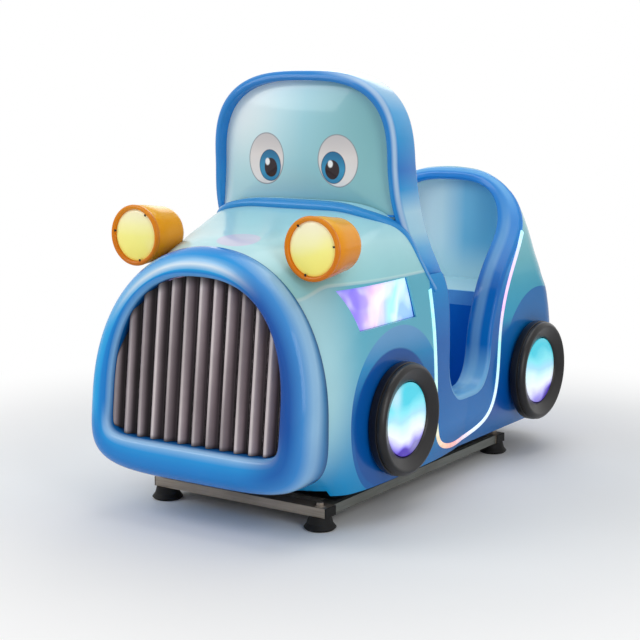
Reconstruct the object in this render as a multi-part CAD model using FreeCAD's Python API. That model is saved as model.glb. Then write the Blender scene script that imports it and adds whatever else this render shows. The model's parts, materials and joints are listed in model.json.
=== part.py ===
"""Coin-operated kiddie ride: a cartoon car that rocks on a steel base frame.

Millimetres, +Z up, car's nose towards -Y, origin at the centre of the footprint on the floor.
"""
import FreeCAD
import Part
import math
import os
from FreeCAD import Vector

# ---------------------------------------------------------------- base frame
FOOT_HEIGHT = 36.0
FOOT_R_BOTTOM = 44.0
FOOT_R_TOP = 31.0
FOOT_X = 262.0
FOOT_FRONT_Y = -530.0
FOOT_REAR_Y = 458.0
FOOT_SOCKET_DEPTH = 24.0
FOOT_EDGE_ROUND = 6.0
RAIL_HEIGHT = 26.0
RAIL_WIDTH = 50.0
RAIL_WALL = 2.5
FRONT_RAIL_HALF = 290.0
SIDE_RAIL_X = 286.0
RAIL_FOOT_MARGIN = 20.0
CAP_THICKNESS = 3.0
CROSS_MEMBER_WIDTH = 60.0
PLATE_THICKNESS = 3.0
PLATE_HALF_WIDTH = 272.0
PLATE_END_GAP = 62.0
BOLT_CLEARANCE = 0.2
FOOT_BOLT_R = 6.0
FOOT_WASHER_R = 14.0
FOOT_WASHER_T = 2.5
FOOT_HEAD_R = 10.5
FOOT_HEAD_H = 8.0

# ---------------------------------------------------------------- pivot and drive
PIVOT_Y = 0.0
PIVOT_RISE = 45.0
SHAFT_R = 12.5
SHAFT_HALF = 235.0
RUNNING_CLEARANCE = 0.05
SEAT_CLEARANCE = 0.02
BEARING_X = 205.0
BEARING_WIDTH = 38.0
BEARING_OUTER_R = 34.0
INSERT_R = 26.0
INSERT_WIDTH = 32.0
BEARING_FOOT_LENGTH = 136.0
BEARING_FOOT_H = 14.0
BEARING_BOLT_Y = 52.0
BEARING_BOLT_R = 5.0
BEARING_HEAD_R = 8.5
BEARING_HEAD_H = 6.5
LUG_WIDTH = 30.0
LUG_R = 24.0
LUG_HALF_LENGTH = 36.0
CRANK_THROW = 15.0
DRIVE_Y = -300.0
MOUNT_PLATE_T = 6.0
MOUNT_PLATE_HALF_X = 64.0
MOUNT_PLATE_MARGIN = 25.0
GEARBOX_HALF_X = 42.0
GEARBOX_HALF_Y = 45.0
GEARBOX_HEIGHT = 112.0
GEARBOX_FOOT_H = 8.0
GEARBOX_FOOT_OUT = 20.0
GEARBOX_BOLT_Y = 30.0
OUTPUT_RISE = 66.0
OUTPUT_R = 10.0
OUTPUT_BORE_DEPTH = 30.0
OUTPUT_LENGTH = 22.0
MOTOR_R = 46.0
MOTOR_LENGTH = 150.0
MOTOR_FLANGE_T = 10.0
CRANK_DISC_R = 34.0
CRANK_DISC_T = 12.0
CRANK_GAP = 6.0
PIN_R = 8.0
PIN_HEAD_R = 12.0
PIN_HEAD_T = 5.0
ROD_LENGTH = 130.0
ROD_EYE_R = 17.0
ROD_T = 16.0
ROD_SIDE_GAP = 2.0
ROD_BAR_R = 8.0
OPEN_PIVOT_GAP = 1.0
TOWER_GAP = 12.0
TOWER_T = 8.0
TOWER_LENGTH = 60.0
TOWER_HEAD_R = 20.0

# ---------------------------------------------------------------- rocking subframe
SUBFRAME_X = 150.0
SUBFRAME_TUBE = 40.0
SUBFRAME_WALL = 3.0
SUBFRAME_GAP = 25.0
SUBFRAME_FRONT_Y = -560.0
SUBFRAME_REAR_Y = 610.0
CROSS_TUBES_Y = (-525.0, -165.0, 425.0, 580.0)
PIVOT_TIE_Y = 0.0

# ---------------------------------------------------------------- body skin
SKIN = 5.0
SKIRT_Z = 92.0
SEAT_GAP = 0.3
FOOT_ACCESS_HALF = 290.0
FOOT_ACCESS_FRONT_Y = -575.0
FOOT_ACCESS_REAR_Y = -480.0
FOOT_ACCESS_TOP_Z = 110.0
NOSE_SEAM_Y = -645.0
JOIN_Y = 135.0
REAR_Y = 763.0
BODY_HALF = 350.0
REAR_HALF = 345.0
SHOULDER_Z = 450.0
DOME_Z = 893.0
DOME_CAP = 5.0
DOME_POWER = 3.0
SKIRT_POWER = 5.0
REAR_TUCK_Z = 20.0
SECTION_POINTS = 28
# Body sections along the car: y, half width, bottom, top, widest height, top power, bottom power.
BODY_STATIONS = (
    (-645.0, 352.0, 140.0, 738.0, 330.0, 2.15, 4.5),
    (-560.0, 351.0, 90.0, 762.0, 380.0, 2.5, 4.5),
    (-473.0, 350.0, 0.0, 775.0, 430.0, 3.0, 5.0),
    (-373.0, 350.0, -70.0, 795.0, 460.0, 3.8, 5.0),
    (-273.0, 350.0, -100.0, 826.0, 480.0, 4.3, 5.0),
    (-225.0, 350.0, -100.0, 846.0, 490.0, 4.3, 5.0),
    (-100.0, 350.0, -80.0, 860.0, 490.0, 4.0, 5.0),
    (135.0, 347.0, 20.0, 893.0, 450.0, 3.0, 5.0),
)
LOFT_Y = (-645.0, -610.0, -560.0, -500.0, -430.0, -360.0, -300.0, -250.0, -190.0, -100.0, 20.0, 135.0)
# Rear of the body by height: z, rear end y, corner radius.
REAR_LEVELS = (
    (60.0, 748.0, 100.0),
    (150.0, 763.0, 100.0),
    (300.0, 763.0, 100.0),
    (370.0, 763.0, 103.0),
    (500.0, 738.0, 112.0),
    (570.0, 700.0, 120.0),
    (650.0, 684.0, 150.0),
    (740.0, 682.0, 168.0),
    (820.0, 690.0, 170.0),
    (860.0, 683.0, 150.0),
    (880.0, 668.0, 110.0),
    (893.0, 645.0, 60.0),
)
LOFT_Z = (60.0, 120.0, 200.0, 260.0, 320.0, 370.0, 410.0, 455.0, 510.0, 570.0, 640.0, 700.0, 760.0, 810.0, 850.0, 875.0)

# ---------------------------------------------------------------- side profiles (y, z)
# Edge of the cockpit: back of the cab hoop, down to the sill, up the seat arch.
COCKPIT_EDGE = (
    (-150.0, 1260.0), (-140.0, 1065.0), (-128.0, 940.0), (-95.0, 770.0), (-52.0, 680.0), (2.0, 590.0),
    (17.0, 500.0), (19.0, 400.0), (25.0, 322.0), (62.0, 272.0), (140.0, 262.0), (212.0, 272.0),
    (252.0, 322.0), (266.0, 400.0), (288.0, 475.0), (335.0, 565.0), (410.0, 642.0), (500.0, 712.0),
    (570.0, 790.0), (618.0, 868.0), (645.0, 960.0),
)
# Front edge of the cab hoop, from the roof to where it meets the door edge.
HOOP_FRONT_EDGE = (
    (-240.0, 1260.0), (-240.0, 920.0), (-233.0, 858.0), (-214.0, 795.0), (-185.0, 735.0),
    (-142.0, 668.0), (-95.0, 612.0), (-50.0, 566.0),
)
HOOP_FOOT_Z = 545.0
# Centre line of the light strip round the door.
LED_LINE = (
    (-112.0, 600.0), (-86.0, 481.0), (-71.0, 334.0), (-62.0, 220.0), (-40.0, 152.0), (35.0, 118.0),
    (180.0, 128.0), (278.0, 168.0), (318.0, 266.0), (334.0, 430.0), (372.0, 540.0), (440.0, 630.0),
    (515.0, 705.0),
)
LED_WIDTH = 14.0
LED_PROUD = 3.0
SIDE_WINDOW = ((-522.0, 640.0), (-232.0, 648.0), (-186.0, 532.0), (-470.0, 530.0))
SIDE_WINDOW_FRAME = 14.0
SIDE_WINDOW_FRAME_DEPTH = 22.0
SIDE_LENS_INSET = 9.0
SIDE_LENS_T = 3.0
LENS_CLEARANCE = 0.3

# ---------------------------------------------------------------- cab hoop and windshield
HOOP_TOP_Z = 1203.0
HOOP_HALF = 312.0
HOOP_CENTRE_Z = 950.0
HOOP_POWER = 2.85
HOOP_SPREAD = 38.0
HOOP_SPREAD_POWER = 1.4
HOOP_SPREAD_Z = 580.0
HOOP_BAND = 28.0
WINDSHIELD_Y = -222.0
WINDSHIELD_T = 6.0
PANEL_CLEARANCE = 0.3

# ---------------------------------------------------------------- nose surround and grille
NOSE_FRONT_Y = -775.5
NOSE_HALF = 366.0
NOSE_TOP_Z = 748.0
NOSE_BOTTOM_Z = 127.0
NOSE_CENTRE_Z = 330.0
NOSE_TOP_POWER = 2.15
NOSE_BOTTOM_POWER = 4.5
NOSE_RAKE = 0.11
NOSE_ROUND_DEPTH = 62.0
NOSE_ROUND_INSET = 50.0
NOSE_ROUND_STEPS = 6
MOUTH_HALF = 281.0
MOUTH_TOP_Z = 672.0
MOUTH_BOTTOM_Z = 231.0
MOUTH_CENTRE_Z = 345.0
MOUTH_TOP_POWER = 2.4
MOUTH_BOTTOM_POWER = 8.0
MOUTH_LIP = 14.0
MOUTH_DEPTH = 46.0
NOSE_WALL = 5.0
GRILLE_T = 4.0
RIB_COUNT = 11
RIB_PITCH = 46.5
RIB_WIDTH = 24.0
RIB_DEPTH = 20.0

# ---------------------------------------------------------------- headlights
LAMP_X = 293.0
LAMP_Y = -615.0
LAMP_Z = 757.0
LAMP_R = 84.0
LAMP_BACK_R = 72.0
LAMP_LENGTH = 150.0
LAMP_BACK_ROUND = 34.0
LAMP_WALL = 4.0
LAMP_RIM = 13.0
LAMP_LENS_SETBACK = 5.0
LAMP_LENS_BULGE = 9.0
CLIP_WIDTH = 5.0
CLIP_LENGTH = 9.0
CLIP_T = 2.0
CLIP_ANGLES = (125.0, 8.0, 255.0)

# ---------------------------------------------------------------- wheels
WHEEL_FRONT_Y = -283.0
WHEEL_REAR_Y = 540.0
WHEEL_Z = 265.0
WHEEL_R = 157.0
WHEEL_OUTER_X = 400.0
WHEEL_GAP = 1.0
WHEEL_HOLE_R = 104.0
WHEEL_SHOULDER = 16.0
HUB_R = 103.7
HUB_T = 10.0
WHEEL_LENS_R = 102.0
WHEEL_LENS_X = 384.0
WHEEL_LENS_T = 4.0
SPACER_R = 30.0

# ---------------------------------------------------------------- cockpit
TUB_HALF = 260.0
TUB_WALL = 4.0
RIM_T = 5.0
ARCH_RIM_TOP = 36.0
FLOOR_T = 4.0
DASH_Y = -112.0
DASH_T = 5.0
DASH_BOTTOM_Z = 560.0
DASH_TOP_Z = 812.0
RISER_Y = 400.0
RISER_T = 5.0
BENCH_Z = 520.0
BENCH_T = 45.0
BENCH_REAR_Y = 600.0
BUCKET_T = 4.0
BUCKET_REAR_Y = 668.0
BUCKET_CORNER = 120.0

# ---------------------------------------------------------------- steering, controls
COLUMN_TILT = 22.0
COLUMN_Z = 690.0
COLUMN_R = 10.0
COLUMN_BOSS_R = 26.0
COLUMN_BOSS_OUT = 46.0
COLUMN_TAIL_R = 16.0
COLUMN_TAIL_IN = 30.0
WHEEL_RIM_R = 112.0
WHEEL_RIM_TUBE = 12.0
WHEEL_OUT = 150.0
STEER_HUB_R = 34.0
STEER_HUB_T = 26.0
SPOKE_R = 8.0
SPOKE_COUNT = 3
COLLAR_R = 16.0
COLLAR_T = 8.0
END_FLOAT = 0.5
HORN_R = 20.0
HORN_DEPTH = 12.0
HORN_PROUD = 5.0
BUTTON_X = 150.0
BUTTON_Z = 720.0
BUTTON_R = 22.0
BUTTON_PROUD = 12.0
BUTTON_BEZEL_R = 30.0
BUTTON_BEZEL_T = 5.0
BUTTON_DEPTH = 26.0
BUTTON_STEM_R = 8.0
BUTTON_FREE = 0.25
COIN_X = -150.0
COIN_Z = 720.0
COIN_HALF_X = 32.0
COIN_HALF_Z = 50.0
COIN_T = 8.0
COIN_DEPTH = 70.0
COIN_SLOT_W = 3.5
COIN_SLOT_H = 32.0
COIN_SLOT_DEPTH = 40.0
CASH_BOX = (90.0, 110.0, 90.0)
CONTROL_BOX = (190.0, 60.0, 130.0)
CONTROL_Z = 400.0
SPEAKER_R = 60.0
SPEAKER_DEPTH = 40.0
SPEAKER_Z = 460.0
SPEAKER_HOLE_R = 4.0
SPEAKER_HOLE_PITCH = 16.0
SPEAKER_HOLE_ROWS = 3
INLET_SIZE = (70.0, 44.0, 40.0)
INLET_X = 120.0

# ---------------------------------------------------------------- rear door
DOOR_HALF_X = 120.0
DOOR_BOTTOM_Z = 200.0
DOOR_TOP_Z = 380.0
DOOR_GAP = 2.0
HINGE_R = 3.5
HINGE_STANDOFF = 0.6
HINGE_PIN_R = 2.0
HINGE_LEAF_T = 1.5
HINGE_LEAF_W = 18.0
HINGE_LENGTH = 120.0
HINGE_AXIAL_GAP = 0.6
LOCK_R = 9.0
LOCK_PROUD = 4.0
LOCK_BODY_R = 7.5
LOCK_DEPTH = 16.0
LOCK_CAM_T = 2.0
LOCK_CAM_LENGTH = 34.0

FAR = 900.0
BOX_TOP = 1400.0

# ---------------------------------------------------------------- derived levels
RAIL_Z0 = FOOT_HEIGHT
RAIL_Z1 = FOOT_HEIGHT + RAIL_HEIGHT
PLATE_Z1 = RAIL_Z1 + PLATE_THICKNESS
FRAME_FRONT_Y = FOOT_FRONT_Y - RAIL_FOOT_MARGIN
FRAME_REAR_Y = FOOT_REAR_Y + RAIL_FOOT_MARGIN
PIVOT_Z = PLATE_Z1 + PIVOT_RISE
SUBFRAME_Z0 = PIVOT_Z + SUBFRAME_GAP
SUBFRAME_Z1 = SUBFRAME_Z0 + SUBFRAME_TUBE
FLOOR_Z1 = SUBFRAME_Z1 + FLOOR_T
MOUNT_Z1 = PLATE_Z1 + MOUNT_PLATE_T
OUTPUT_Z = MOUNT_Z1 + OUTPUT_RISE
CRANK_Y = DRIVE_Y - CRANK_THROW
ROD_TOP_Z = OUTPUT_Z + ROD_LENGTH
CRANK_X0 = GEARBOX_HALF_X + CRANK_GAP
CRANK_X1 = CRANK_X0 + CRANK_DISC_T
ROD_X0 = CRANK_X1 + ROD_SIDE_GAP
ROD_X1 = ROD_X0 + ROD_T
TOWER_X0 = ROD_X1 + TOWER_GAP
TOWER_X1 = TOWER_X0 + TOWER_T
WHEEL_INNER_X = BODY_HALF + WHEEL_GAP
DASH_FACE_Y = DASH_Y + DASH_T


# ---------------------------------------------------------------- small helpers
def box(x0, x1, y0, y1, z0, z1):
    return Part.makeBox(x1 - x0, y1 - y0, z1 - z0, Vector(x0, y0, z0))


def rod_x(radius, x0, x1, y, z):
    return Part.makeCylinder(radius, x1 - x0, Vector(x0, y, z), Vector(1, 0, 0))


def rod_y(radius, y0, y1, x, z):
    return Part.makeCylinder(radius, y1 - y0, Vector(x, y0, z), Vector(0, 1, 0))


def rod_z(radius, z0, z1, x, y):
    return Part.makeCylinder(radius, z1 - z0, Vector(x, y, z0), Vector(0, 0, 1))


def hex_z(across_radius, z0, z1, x, y):
    corners = [Vector(x + across_radius * math.cos(math.radians(60 * k)),
                      y + across_radius * math.sin(math.radians(60 * k)), z0) for k in range(6)]
    face = Part.Face(Part.makePolygon(corners + corners[:1]))
    return face.extrude(Vector(0, 0, z1 - z0))


def mirrored(shape):
    return shape.mirror(Vector(0, 0, 0), Vector(1, 0, 0))


def group(shapes):
    return Part.makeCompound([solid for shape in shapes for solid in shape.Solids])


def clean(shape):
    """Only the solids of a boolean's result, with split faces joined again."""
    return group([shape.removeSplitter()])


def closed_spline(points):
    curve = Part.BSplineCurve()
    curve.interpolate(points, PeriodicFlag=True)
    return Part.Wire([curve.toShape()])


def open_spline(points):
    curve = Part.BSplineCurve()
    curve.interpolate([Vector(0, y, z) for y, z in points])
    return curve


def side_face(curve, closing):
    """Face in the YZ plane bounded by a curve and a polyline through the closing points."""
    ends = [curve.EndPoint] + [Vector(0, y, z) for y, z in closing] + [curve.StartPoint]
    lines = [Part.makeLine(a, b) for a, b in zip(ends, ends[1:])]
    return Part.Face(Part.Wire([curve.toShape()] + lines))


def across(face):
    """Prism of a YZ face through the whole width."""
    moved = face.translated(Vector(-FAR, 0, 0))
    return moved.extrude(Vector(2 * FAR, 0, 0))


def offset_points(curve, distance, count=70):
    """Points of a planar YZ curve moved sideways, to the right of its direction of travel."""
    points = []
    for step in range(count + 1):
        at = curve.FirstParameter + (curve.LastParameter - curve.FirstParameter) * step / count
        here = curve.value(at)
        way = curve.tangent(at)[0]
        points.append((here.y - way.z * distance, here.z + way.y * distance))
    return points


def band(points, near, far):
    """Prism of the strip between two offsets of the spline through the points."""
    curve = open_spline(points)
    inner = open_spline(offset_points(curve, near))
    outer = open_spline(offset_points(curve, far))
    ends = [Part.makeLine(inner.StartPoint, outer.StartPoint), Part.makeLine(inner.EndPoint, outer.EndPoint)]
    edges = [inner.toShape(), ends[1], outer.toShape(), ends[0]]
    return across(Part.Face(Part.Wire(Part.__sortEdges__(edges))))


def smooth(rows, column, at):
    """Monotone cubic through one column of a table whose first column rises."""
    xs = [row[0] for row in rows]
    ys = [row[column] for row in rows]
    slopes = [(ys[i + 1] - ys[i]) / (xs[i + 1] - xs[i]) for i in range(len(xs) - 1)]
    tangents = [slopes[0]]
    for before, after in zip(slopes, slopes[1:]):
        tangents.append(0.0 if before * after <= 0 else 2 * before * after / (before + after))
    tangents.append(slopes[-1])
    if at <= xs[0]:
        return ys[0]
    if at >= xs[-1]:
        return ys[-1]
    i = max(k for k in range(len(xs) - 1) if xs[k] <= at)
    width = xs[i + 1] - xs[i]
    t = (at - xs[i]) / width
    rise = (1 + 2 * t) * (1 - t) ** 2 * ys[i] + t * t * (3 - 2 * t) * ys[i + 1]
    return rise + width * t * (1 - t) * ((1 - t) * tangents[i] - t * tangents[i + 1])


def oval(half, centre, top, bottom, top_power, bottom_power):
    """Points (x, z) round an egg whose upper and lower halves are superellipses."""
    points = []
    for step in range(SECTION_POINTS):
        angle = 2 * math.pi * step / SECTION_POINTS
        across_share = math.cos(angle)
        up_share = math.sin(angle)
        power = top_power if up_share > 0 else bottom_power
        reach = top - centre if up_share > 0 else centre - bottom
        radius = (abs(across_share) ** power + abs(up_share) ** power) ** (-1 / power)
        points.append((half * radius * across_share, centre + reach * radius * up_share))
    return points


# ---------------------------------------------------------------- body volume
def body_section(y, inset):
    half, bottom, top, centre, top_power, bottom_power = [
        smooth(BODY_STATIONS, column, y) for column in range(1, 7)]
    points = oval(half - inset, centre, top - inset, bottom + inset, top_power, bottom_power)
    return closed_spline([Vector(x, y, z) for x, z in points])


def front_volume(inset):
    return Part.makeLoft([body_section(y, inset) for y in LOFT_Y], True, False)


def rear_half_width(z, inset):
    if z > SHOULDER_Z:
        share = (z - SHOULDER_Z) / (DOME_Z - inset - SHOULDER_Z)
        power = DOME_POWER
    else:
        share = (SHOULDER_Z - z) / (SHOULDER_Z - REAR_TUCK_Z - inset)
        power = SKIRT_POWER
    return (REAR_HALF - inset) * (1 - min(share, 0.999) ** power) ** (1 / power)


def plan_outline(z, inset):
    half = rear_half_width(z, inset)
    end = smooth(REAR_LEVELS, 1, z) - inset
    corner = min(max(smooth(REAR_LEVELS, 2, z) - inset, 20.0), half - 5.0)
    turn = corner * (1 - math.sqrt(0.5))
    points = [Vector(half, JOIN_Y, z), Vector(half, end - corner, z), Vector(half - turn, end - turn, z),
              Vector(half - corner, end, z)]
    left = [Vector(-p.x, p.y, p.z) for p in reversed(points)]
    edges = [Part.makeLine(points[0], points[1]), Part.Arc(*points[1:4]).toShape(),
             Part.makeLine(points[3], left[0]), Part.Arc(*left[0:3]).toShape(),
             Part.makeLine(left[2], left[3]), Part.makeLine(left[3], points[0])]
    return Part.Wire(edges)


def rear_volume(inset):
    top = DOME_Z - DOME_CAP - inset
    levels = [z for z in LOFT_Z if z < top - DOME_CAP] + [top]
    return Part.makeLoft([plan_outline(z, inset) for z in levels], True, False)


FRONT_OUTER = front_volume(0.0)
FRONT_INNER = front_volume(SKIN)
REAR_OUTER = rear_volume(0.0)
REAR_INNER = rear_volume(SKIN)
FRONT_SEATED = front_volume(-SEAT_GAP)
REAR_SEATED = rear_volume(-SEAT_GAP)
COCKPIT_CURVE = open_spline(COCKPIT_EDGE)
COCKPIT_CUT = across(side_face(COCKPIT_CURVE, [(COCKPIT_EDGE[-1][0], BOX_TOP), (COCKPIT_EDGE[0][0], BOX_TOP)]))
HOOP_CURVE = open_spline(HOOP_FRONT_EDGE)
HOOP_REGION = across(side_face(HOOP_CURVE, [(JOIN_Y - 20.0, HOOP_FOOT_Z), (JOIN_Y - 20.0, BOX_TOP),
                                            (HOOP_FRONT_EDGE[0][0], BOX_TOP)]))
SKIRT_CUT = box(-FAR, FAR, -FAR, FAR, -FAR, SKIRT_Z)


def window_prism(margin):
    """Prism of the side light's opening, grown on every side by the margin."""
    middle_y = sum(y for y, z in SIDE_WINDOW) / len(SIDE_WINDOW)
    middle_z = sum(z for y, z in SIDE_WINDOW) / len(SIDE_WINDOW)
    corners = [Vector(0, y + margin * math.copysign(1, y - middle_y), z + margin * math.copysign(1, z - middle_z))
               for y, z in SIDE_WINDOW]
    return across(Part.Face(Part.makePolygon(corners + corners[:1])))


# ---------------------------------------------------------------- base frame
def tube_y(x0, x1, y0, y1, z0, z1, wall):
    return box(x0, x1, y0, y1, z0, z1).cut(box(x0 + wall, x1 - wall, y0, y1, z0 + wall, z1 - wall))


def tube_x(x0, x1, y0, y1, z0, z1, wall):
    return box(x0, x1, y0, y1, z0, z1).cut(box(x0, x1, y0 + wall, y1 - wall, z0 + wall, z1 - wall))


def foot_places():
    return [(side * FOOT_X, y) for side in (-1, 1) for y in (FOOT_FRONT_Y, FOOT_REAR_Y)]


def end_rail(y0):
    rail = tube_x(-FRONT_RAIL_HALF, FRONT_RAIL_HALF, y0, y0 + RAIL_WIDTH, RAIL_Z0, RAIL_Z1, RAIL_WALL)
    for x, y in foot_places():
        rail = rail.cut(rod_z(FOOT_BOLT_R + BOLT_CLEARANCE, RAIL_Z0, RAIL_Z1, x, y))
    return rail


def side_rail():
    y0 = FRAME_FRONT_Y + RAIL_WIDTH
    y1 = FRAME_REAR_Y - RAIL_WIDTH
    return tube_y(SIDE_RAIL_X - RAIL_WIDTH, SIDE_RAIL_X, y0, y1, RAIL_Z0, RAIL_Z1, RAIL_WALL)


def bearing_bolt_places():
    return [(side * BEARING_X, PIVOT_Y + way * BEARING_BOLT_Y) for side in (-1, 1) for way in (-1, 1)]


def cross_members():
    inner = SIDE_RAIL_X - RAIL_WIDTH
    members = []
    for middle in (DRIVE_Y, PIVOT_Y - BEARING_BOLT_Y, PIVOT_Y + BEARING_BOLT_Y):
        y0 = middle - CROSS_MEMBER_WIDTH / 2
        member = tube_x(-inner, inner, y0, y0 + CROSS_MEMBER_WIDTH, RAIL_Z0, RAIL_Z1, RAIL_WALL)
        for x, y in bearing_bolt_places():
            member = member.cut(rod_z(BEARING_BOLT_R + BOLT_CLEARANCE, RAIL_Z0, RAIL_Z1, x, y))
        members.append(member)
    return group(members)


def rail_end_caps():
    caps = []
    for y0 in (FRAME_FRONT_Y, FRAME_REAR_Y - RAIL_WIDTH):
        cap = box(FRONT_RAIL_HALF, FRONT_RAIL_HALF + CAP_THICKNESS, y0, y0 + RAIL_WIDTH, RAIL_Z0, RAIL_Z1)
        caps += [cap, mirrored(cap)]
    return group(caps)


def rubber_foot(x, y):
    flare = FOOT_R_BOTTOM - FOOT_R_TOP
    profile = [Vector(x, y, 0), Vector(x + FOOT_R_BOTTOM - FOOT_EDGE_ROUND, y, 0),
               Vector(x + FOOT_R_BOTTOM, y, FOOT_EDGE_ROUND), Vector(x + FOOT_R_TOP + flare / 3, y, FOOT_HEIGHT / 2),
               Vector(x + FOOT_R_TOP, y, FOOT_HEIGHT), Vector(x, y, FOOT_HEIGHT)]
    face = Part.Face(Part.makePolygon(profile + profile[:1]))
    foot = face.revolve(Vector(x, y, 0), Vector(0, 0, 1), 360)
    return foot.cut(rod_z(FOOT_BOLT_R + BOLT_CLEARANCE, FOOT_HEIGHT - FOOT_SOCKET_DEPTH, FOOT_HEIGHT, x, y))


def foot_bolt(x, y):
    washer_top = RAIL_Z1 + FOOT_WASHER_T
    shank = rod_z(FOOT_BOLT_R, FOOT_HEIGHT - FOOT_SOCKET_DEPTH, washer_top, x, y)
    washer = rod_z(FOOT_WASHER_R, RAIL_Z1, washer_top, x, y)
    return shank.fuse(washer).fuse(hex_z(FOOT_HEAD_R, washer_top, washer_top + FOOT_HEAD_H, x, y))


def base_plate():
    plate = box(-PLATE_HALF_WIDTH, PLATE_HALF_WIDTH, FOOT_FRONT_Y + PLATE_END_GAP, FOOT_REAR_Y - PLATE_END_GAP,
                RAIL_Z1, PLATE_Z1)
    for x, y in bearing_bolt_places():
        plate = plate.cut(rod_z(BEARING_BOLT_R + BOLT_CLEARANCE, RAIL_Z1, PLATE_Z1, x, y))
    return plate


# ---------------------------------------------------------------- pivot
def bearing_housing(x):
    half = BEARING_WIDTH / 2
    block = box(x - half, x + half, PIVOT_Y - BEARING_FOOT_LENGTH / 2, PIVOT_Y + BEARING_FOOT_LENGTH / 2,
                PLATE_Z1, PLATE_Z1 + BEARING_FOOT_H)
    neck = box(x - half, x + half, PIVOT_Y - BEARING_OUTER_R, PIVOT_Y + BEARING_OUTER_R, PLATE_Z1, PIVOT_Z)
    housing = block.fuse(neck).fuse(rod_x(BEARING_OUTER_R, x - half, x + half, PIVOT_Y, PIVOT_Z))
    housing = housing.cut(rod_x(INSERT_R + SEAT_CLEARANCE, x - half, x + half, PIVOT_Y, PIVOT_Z))
    for bolt_x, bolt_y in bearing_bolt_places():
        housing = housing.cut(rod_z(BEARING_BOLT_R + BOLT_CLEARANCE, PLATE_Z1, PIVOT_Z, bolt_x, bolt_y))
    return housing.removeSplitter()


def bearing_insert(x):
    half = INSERT_WIDTH / 2
    ring = rod_x(INSERT_R, x - half, x + half, PIVOT_Y, PIVOT_Z)
    return ring.cut(rod_x(SHAFT_R + RUNNING_CLEARANCE, x - half, x + half, PIVOT_Y, PIVOT_Z))


def bearing_bolt(x, y):
    seat = PLATE_Z1 + BEARING_FOOT_H
    shank = rod_z(BEARING_BOLT_R, RAIL_Z0 + RAIL_WALL, seat, x, y)
    return shank.fuse(hex_z(BEARING_HEAD_R, seat, seat + BEARING_HEAD_H, x, y))


def pivot_lug(x):
    half = LUG_WIDTH / 2
    web = box(x - half, x + half, PIVOT_Y - LUG_HALF_LENGTH, PIVOT_Y + LUG_HALF_LENGTH, PIVOT_Z, SUBFRAME_Z0)
    lug = web.fuse(rod_x(LUG_R, x - half, x + half, PIVOT_Y, PIVOT_Z))
    lug = lug.cut(rod_x(SHAFT_R + SEAT_CLEARANCE, x - half, x + half, PIVOT_Y, PIVOT_Z))
    return lug.removeSplitter()


# ---------------------------------------------------------------- drive
def motor_mount_plate():
    return box(-MOUNT_PLATE_HALF_X, MOUNT_PLATE_HALF_X, DRIVE_Y - GEARBOX_HALF_Y - MOUNT_PLATE_MARGIN,
               DRIVE_Y + GEARBOX_HALF_Y + MOUNT_PLATE_MARGIN, PLATE_Z1, MOUNT_Z1)


def gearbox():
    foot_x = GEARBOX_HALF_X + GEARBOX_FOOT_OUT
    foot = box(-foot_x, foot_x, DRIVE_Y - GEARBOX_HALF_Y, DRIVE_Y + GEARBOX_HALF_Y,
               MOUNT_Z1, MOUNT_Z1 + GEARBOX_FOOT_H)
    case = box(-GEARBOX_HALF_X, GEARBOX_HALF_X, DRIVE_Y - GEARBOX_HALF_Y, DRIVE_Y + GEARBOX_HALF_Y,
               MOUNT_Z1, MOUNT_Z1 + GEARBOX_HEIGHT)
    upright = [edge for edge in case.Edges if abs(edge.Length - GEARBOX_HEIGHT) < 1e-6]
    case = case.makeFillet(GEARBOX_HALF_X / 4, upright)
    boss_r = OUTPUT_R + GEARBOX_FOOT_H
    case = case.fuse(rod_x(boss_r, GEARBOX_HALF_X - 1, GEARBOX_HALF_X + CRANK_GAP / 2, DRIVE_Y, OUTPUT_Z))
    bore = rod_x(OUTPUT_R + RUNNING_CLEARANCE, GEARBOX_HALF_X - OUTPUT_BORE_DEPTH, FAR, DRIVE_Y, OUTPUT_Z)
    return foot.fuse(case).cut(bore).removeSplitter()


def drive_motor():
    y1 = DRIVE_Y - GEARBOX_HALF_Y
    y0 = y1 - MOTOR_LENGTH
    z = MOUNT_Z1 + MOTOR_R + GEARBOX_FOOT_H
    can = rod_y(MOTOR_R, y0, y1 - MOTOR_FLANGE_T, 0, z)
    can = can.makeFillet(MOTOR_R / 6, [edge for edge in can.Edges if abs(edge.CenterOfMass.y - y0) < 1e-6
                                       and edge.Length > MOTOR_R])
    flange = box(-GEARBOX_HALF_X, GEARBOX_HALF_X, y1 - MOTOR_FLANGE_T, y1, z - GEARBOX_HALF_X, z + GEARBOX_HALF_X)
    return can.fuse(flange).removeSplitter()


def gearbox_bolts():
    bolts = []
    for side in (-1, 1):
        for way in (-1, 1):
            x = side * (GEARBOX_HALF_X + GEARBOX_FOOT_OUT / 2)
            y = DRIVE_Y + way * GEARBOX_BOLT_Y
            seat = MOUNT_Z1 + GEARBOX_FOOT_H
            bolts.append(hex_z(BEARING_HEAD_R, seat, seat + BEARING_HEAD_H, x, y))
    return bolts


def crank_shaft():
    """Gearbox output shaft with the crank disc on its end."""
    shaft = rod_x(OUTPUT_R, GEARBOX_HALF_X - OUTPUT_BORE_DEPTH + END_FLOAT, CRANK_X0, DRIVE_Y, OUTPUT_Z)
    return shaft.fuse(rod_x(CRANK_DISC_R, CRANK_X0, CRANK_X1, DRIVE_Y, OUTPUT_Z)).removeSplitter()


def crank_pin():
    head_x = ROD_X1 + END_FLOAT
    pin = rod_x(PIN_R, CRANK_X1, head_x, CRANK_Y, OUTPUT_Z)
    return pin.fuse(rod_x(PIN_HEAD_R, head_x, head_x + PIN_HEAD_T, CRANK_Y, OUTPUT_Z)).removeSplitter()


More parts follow.
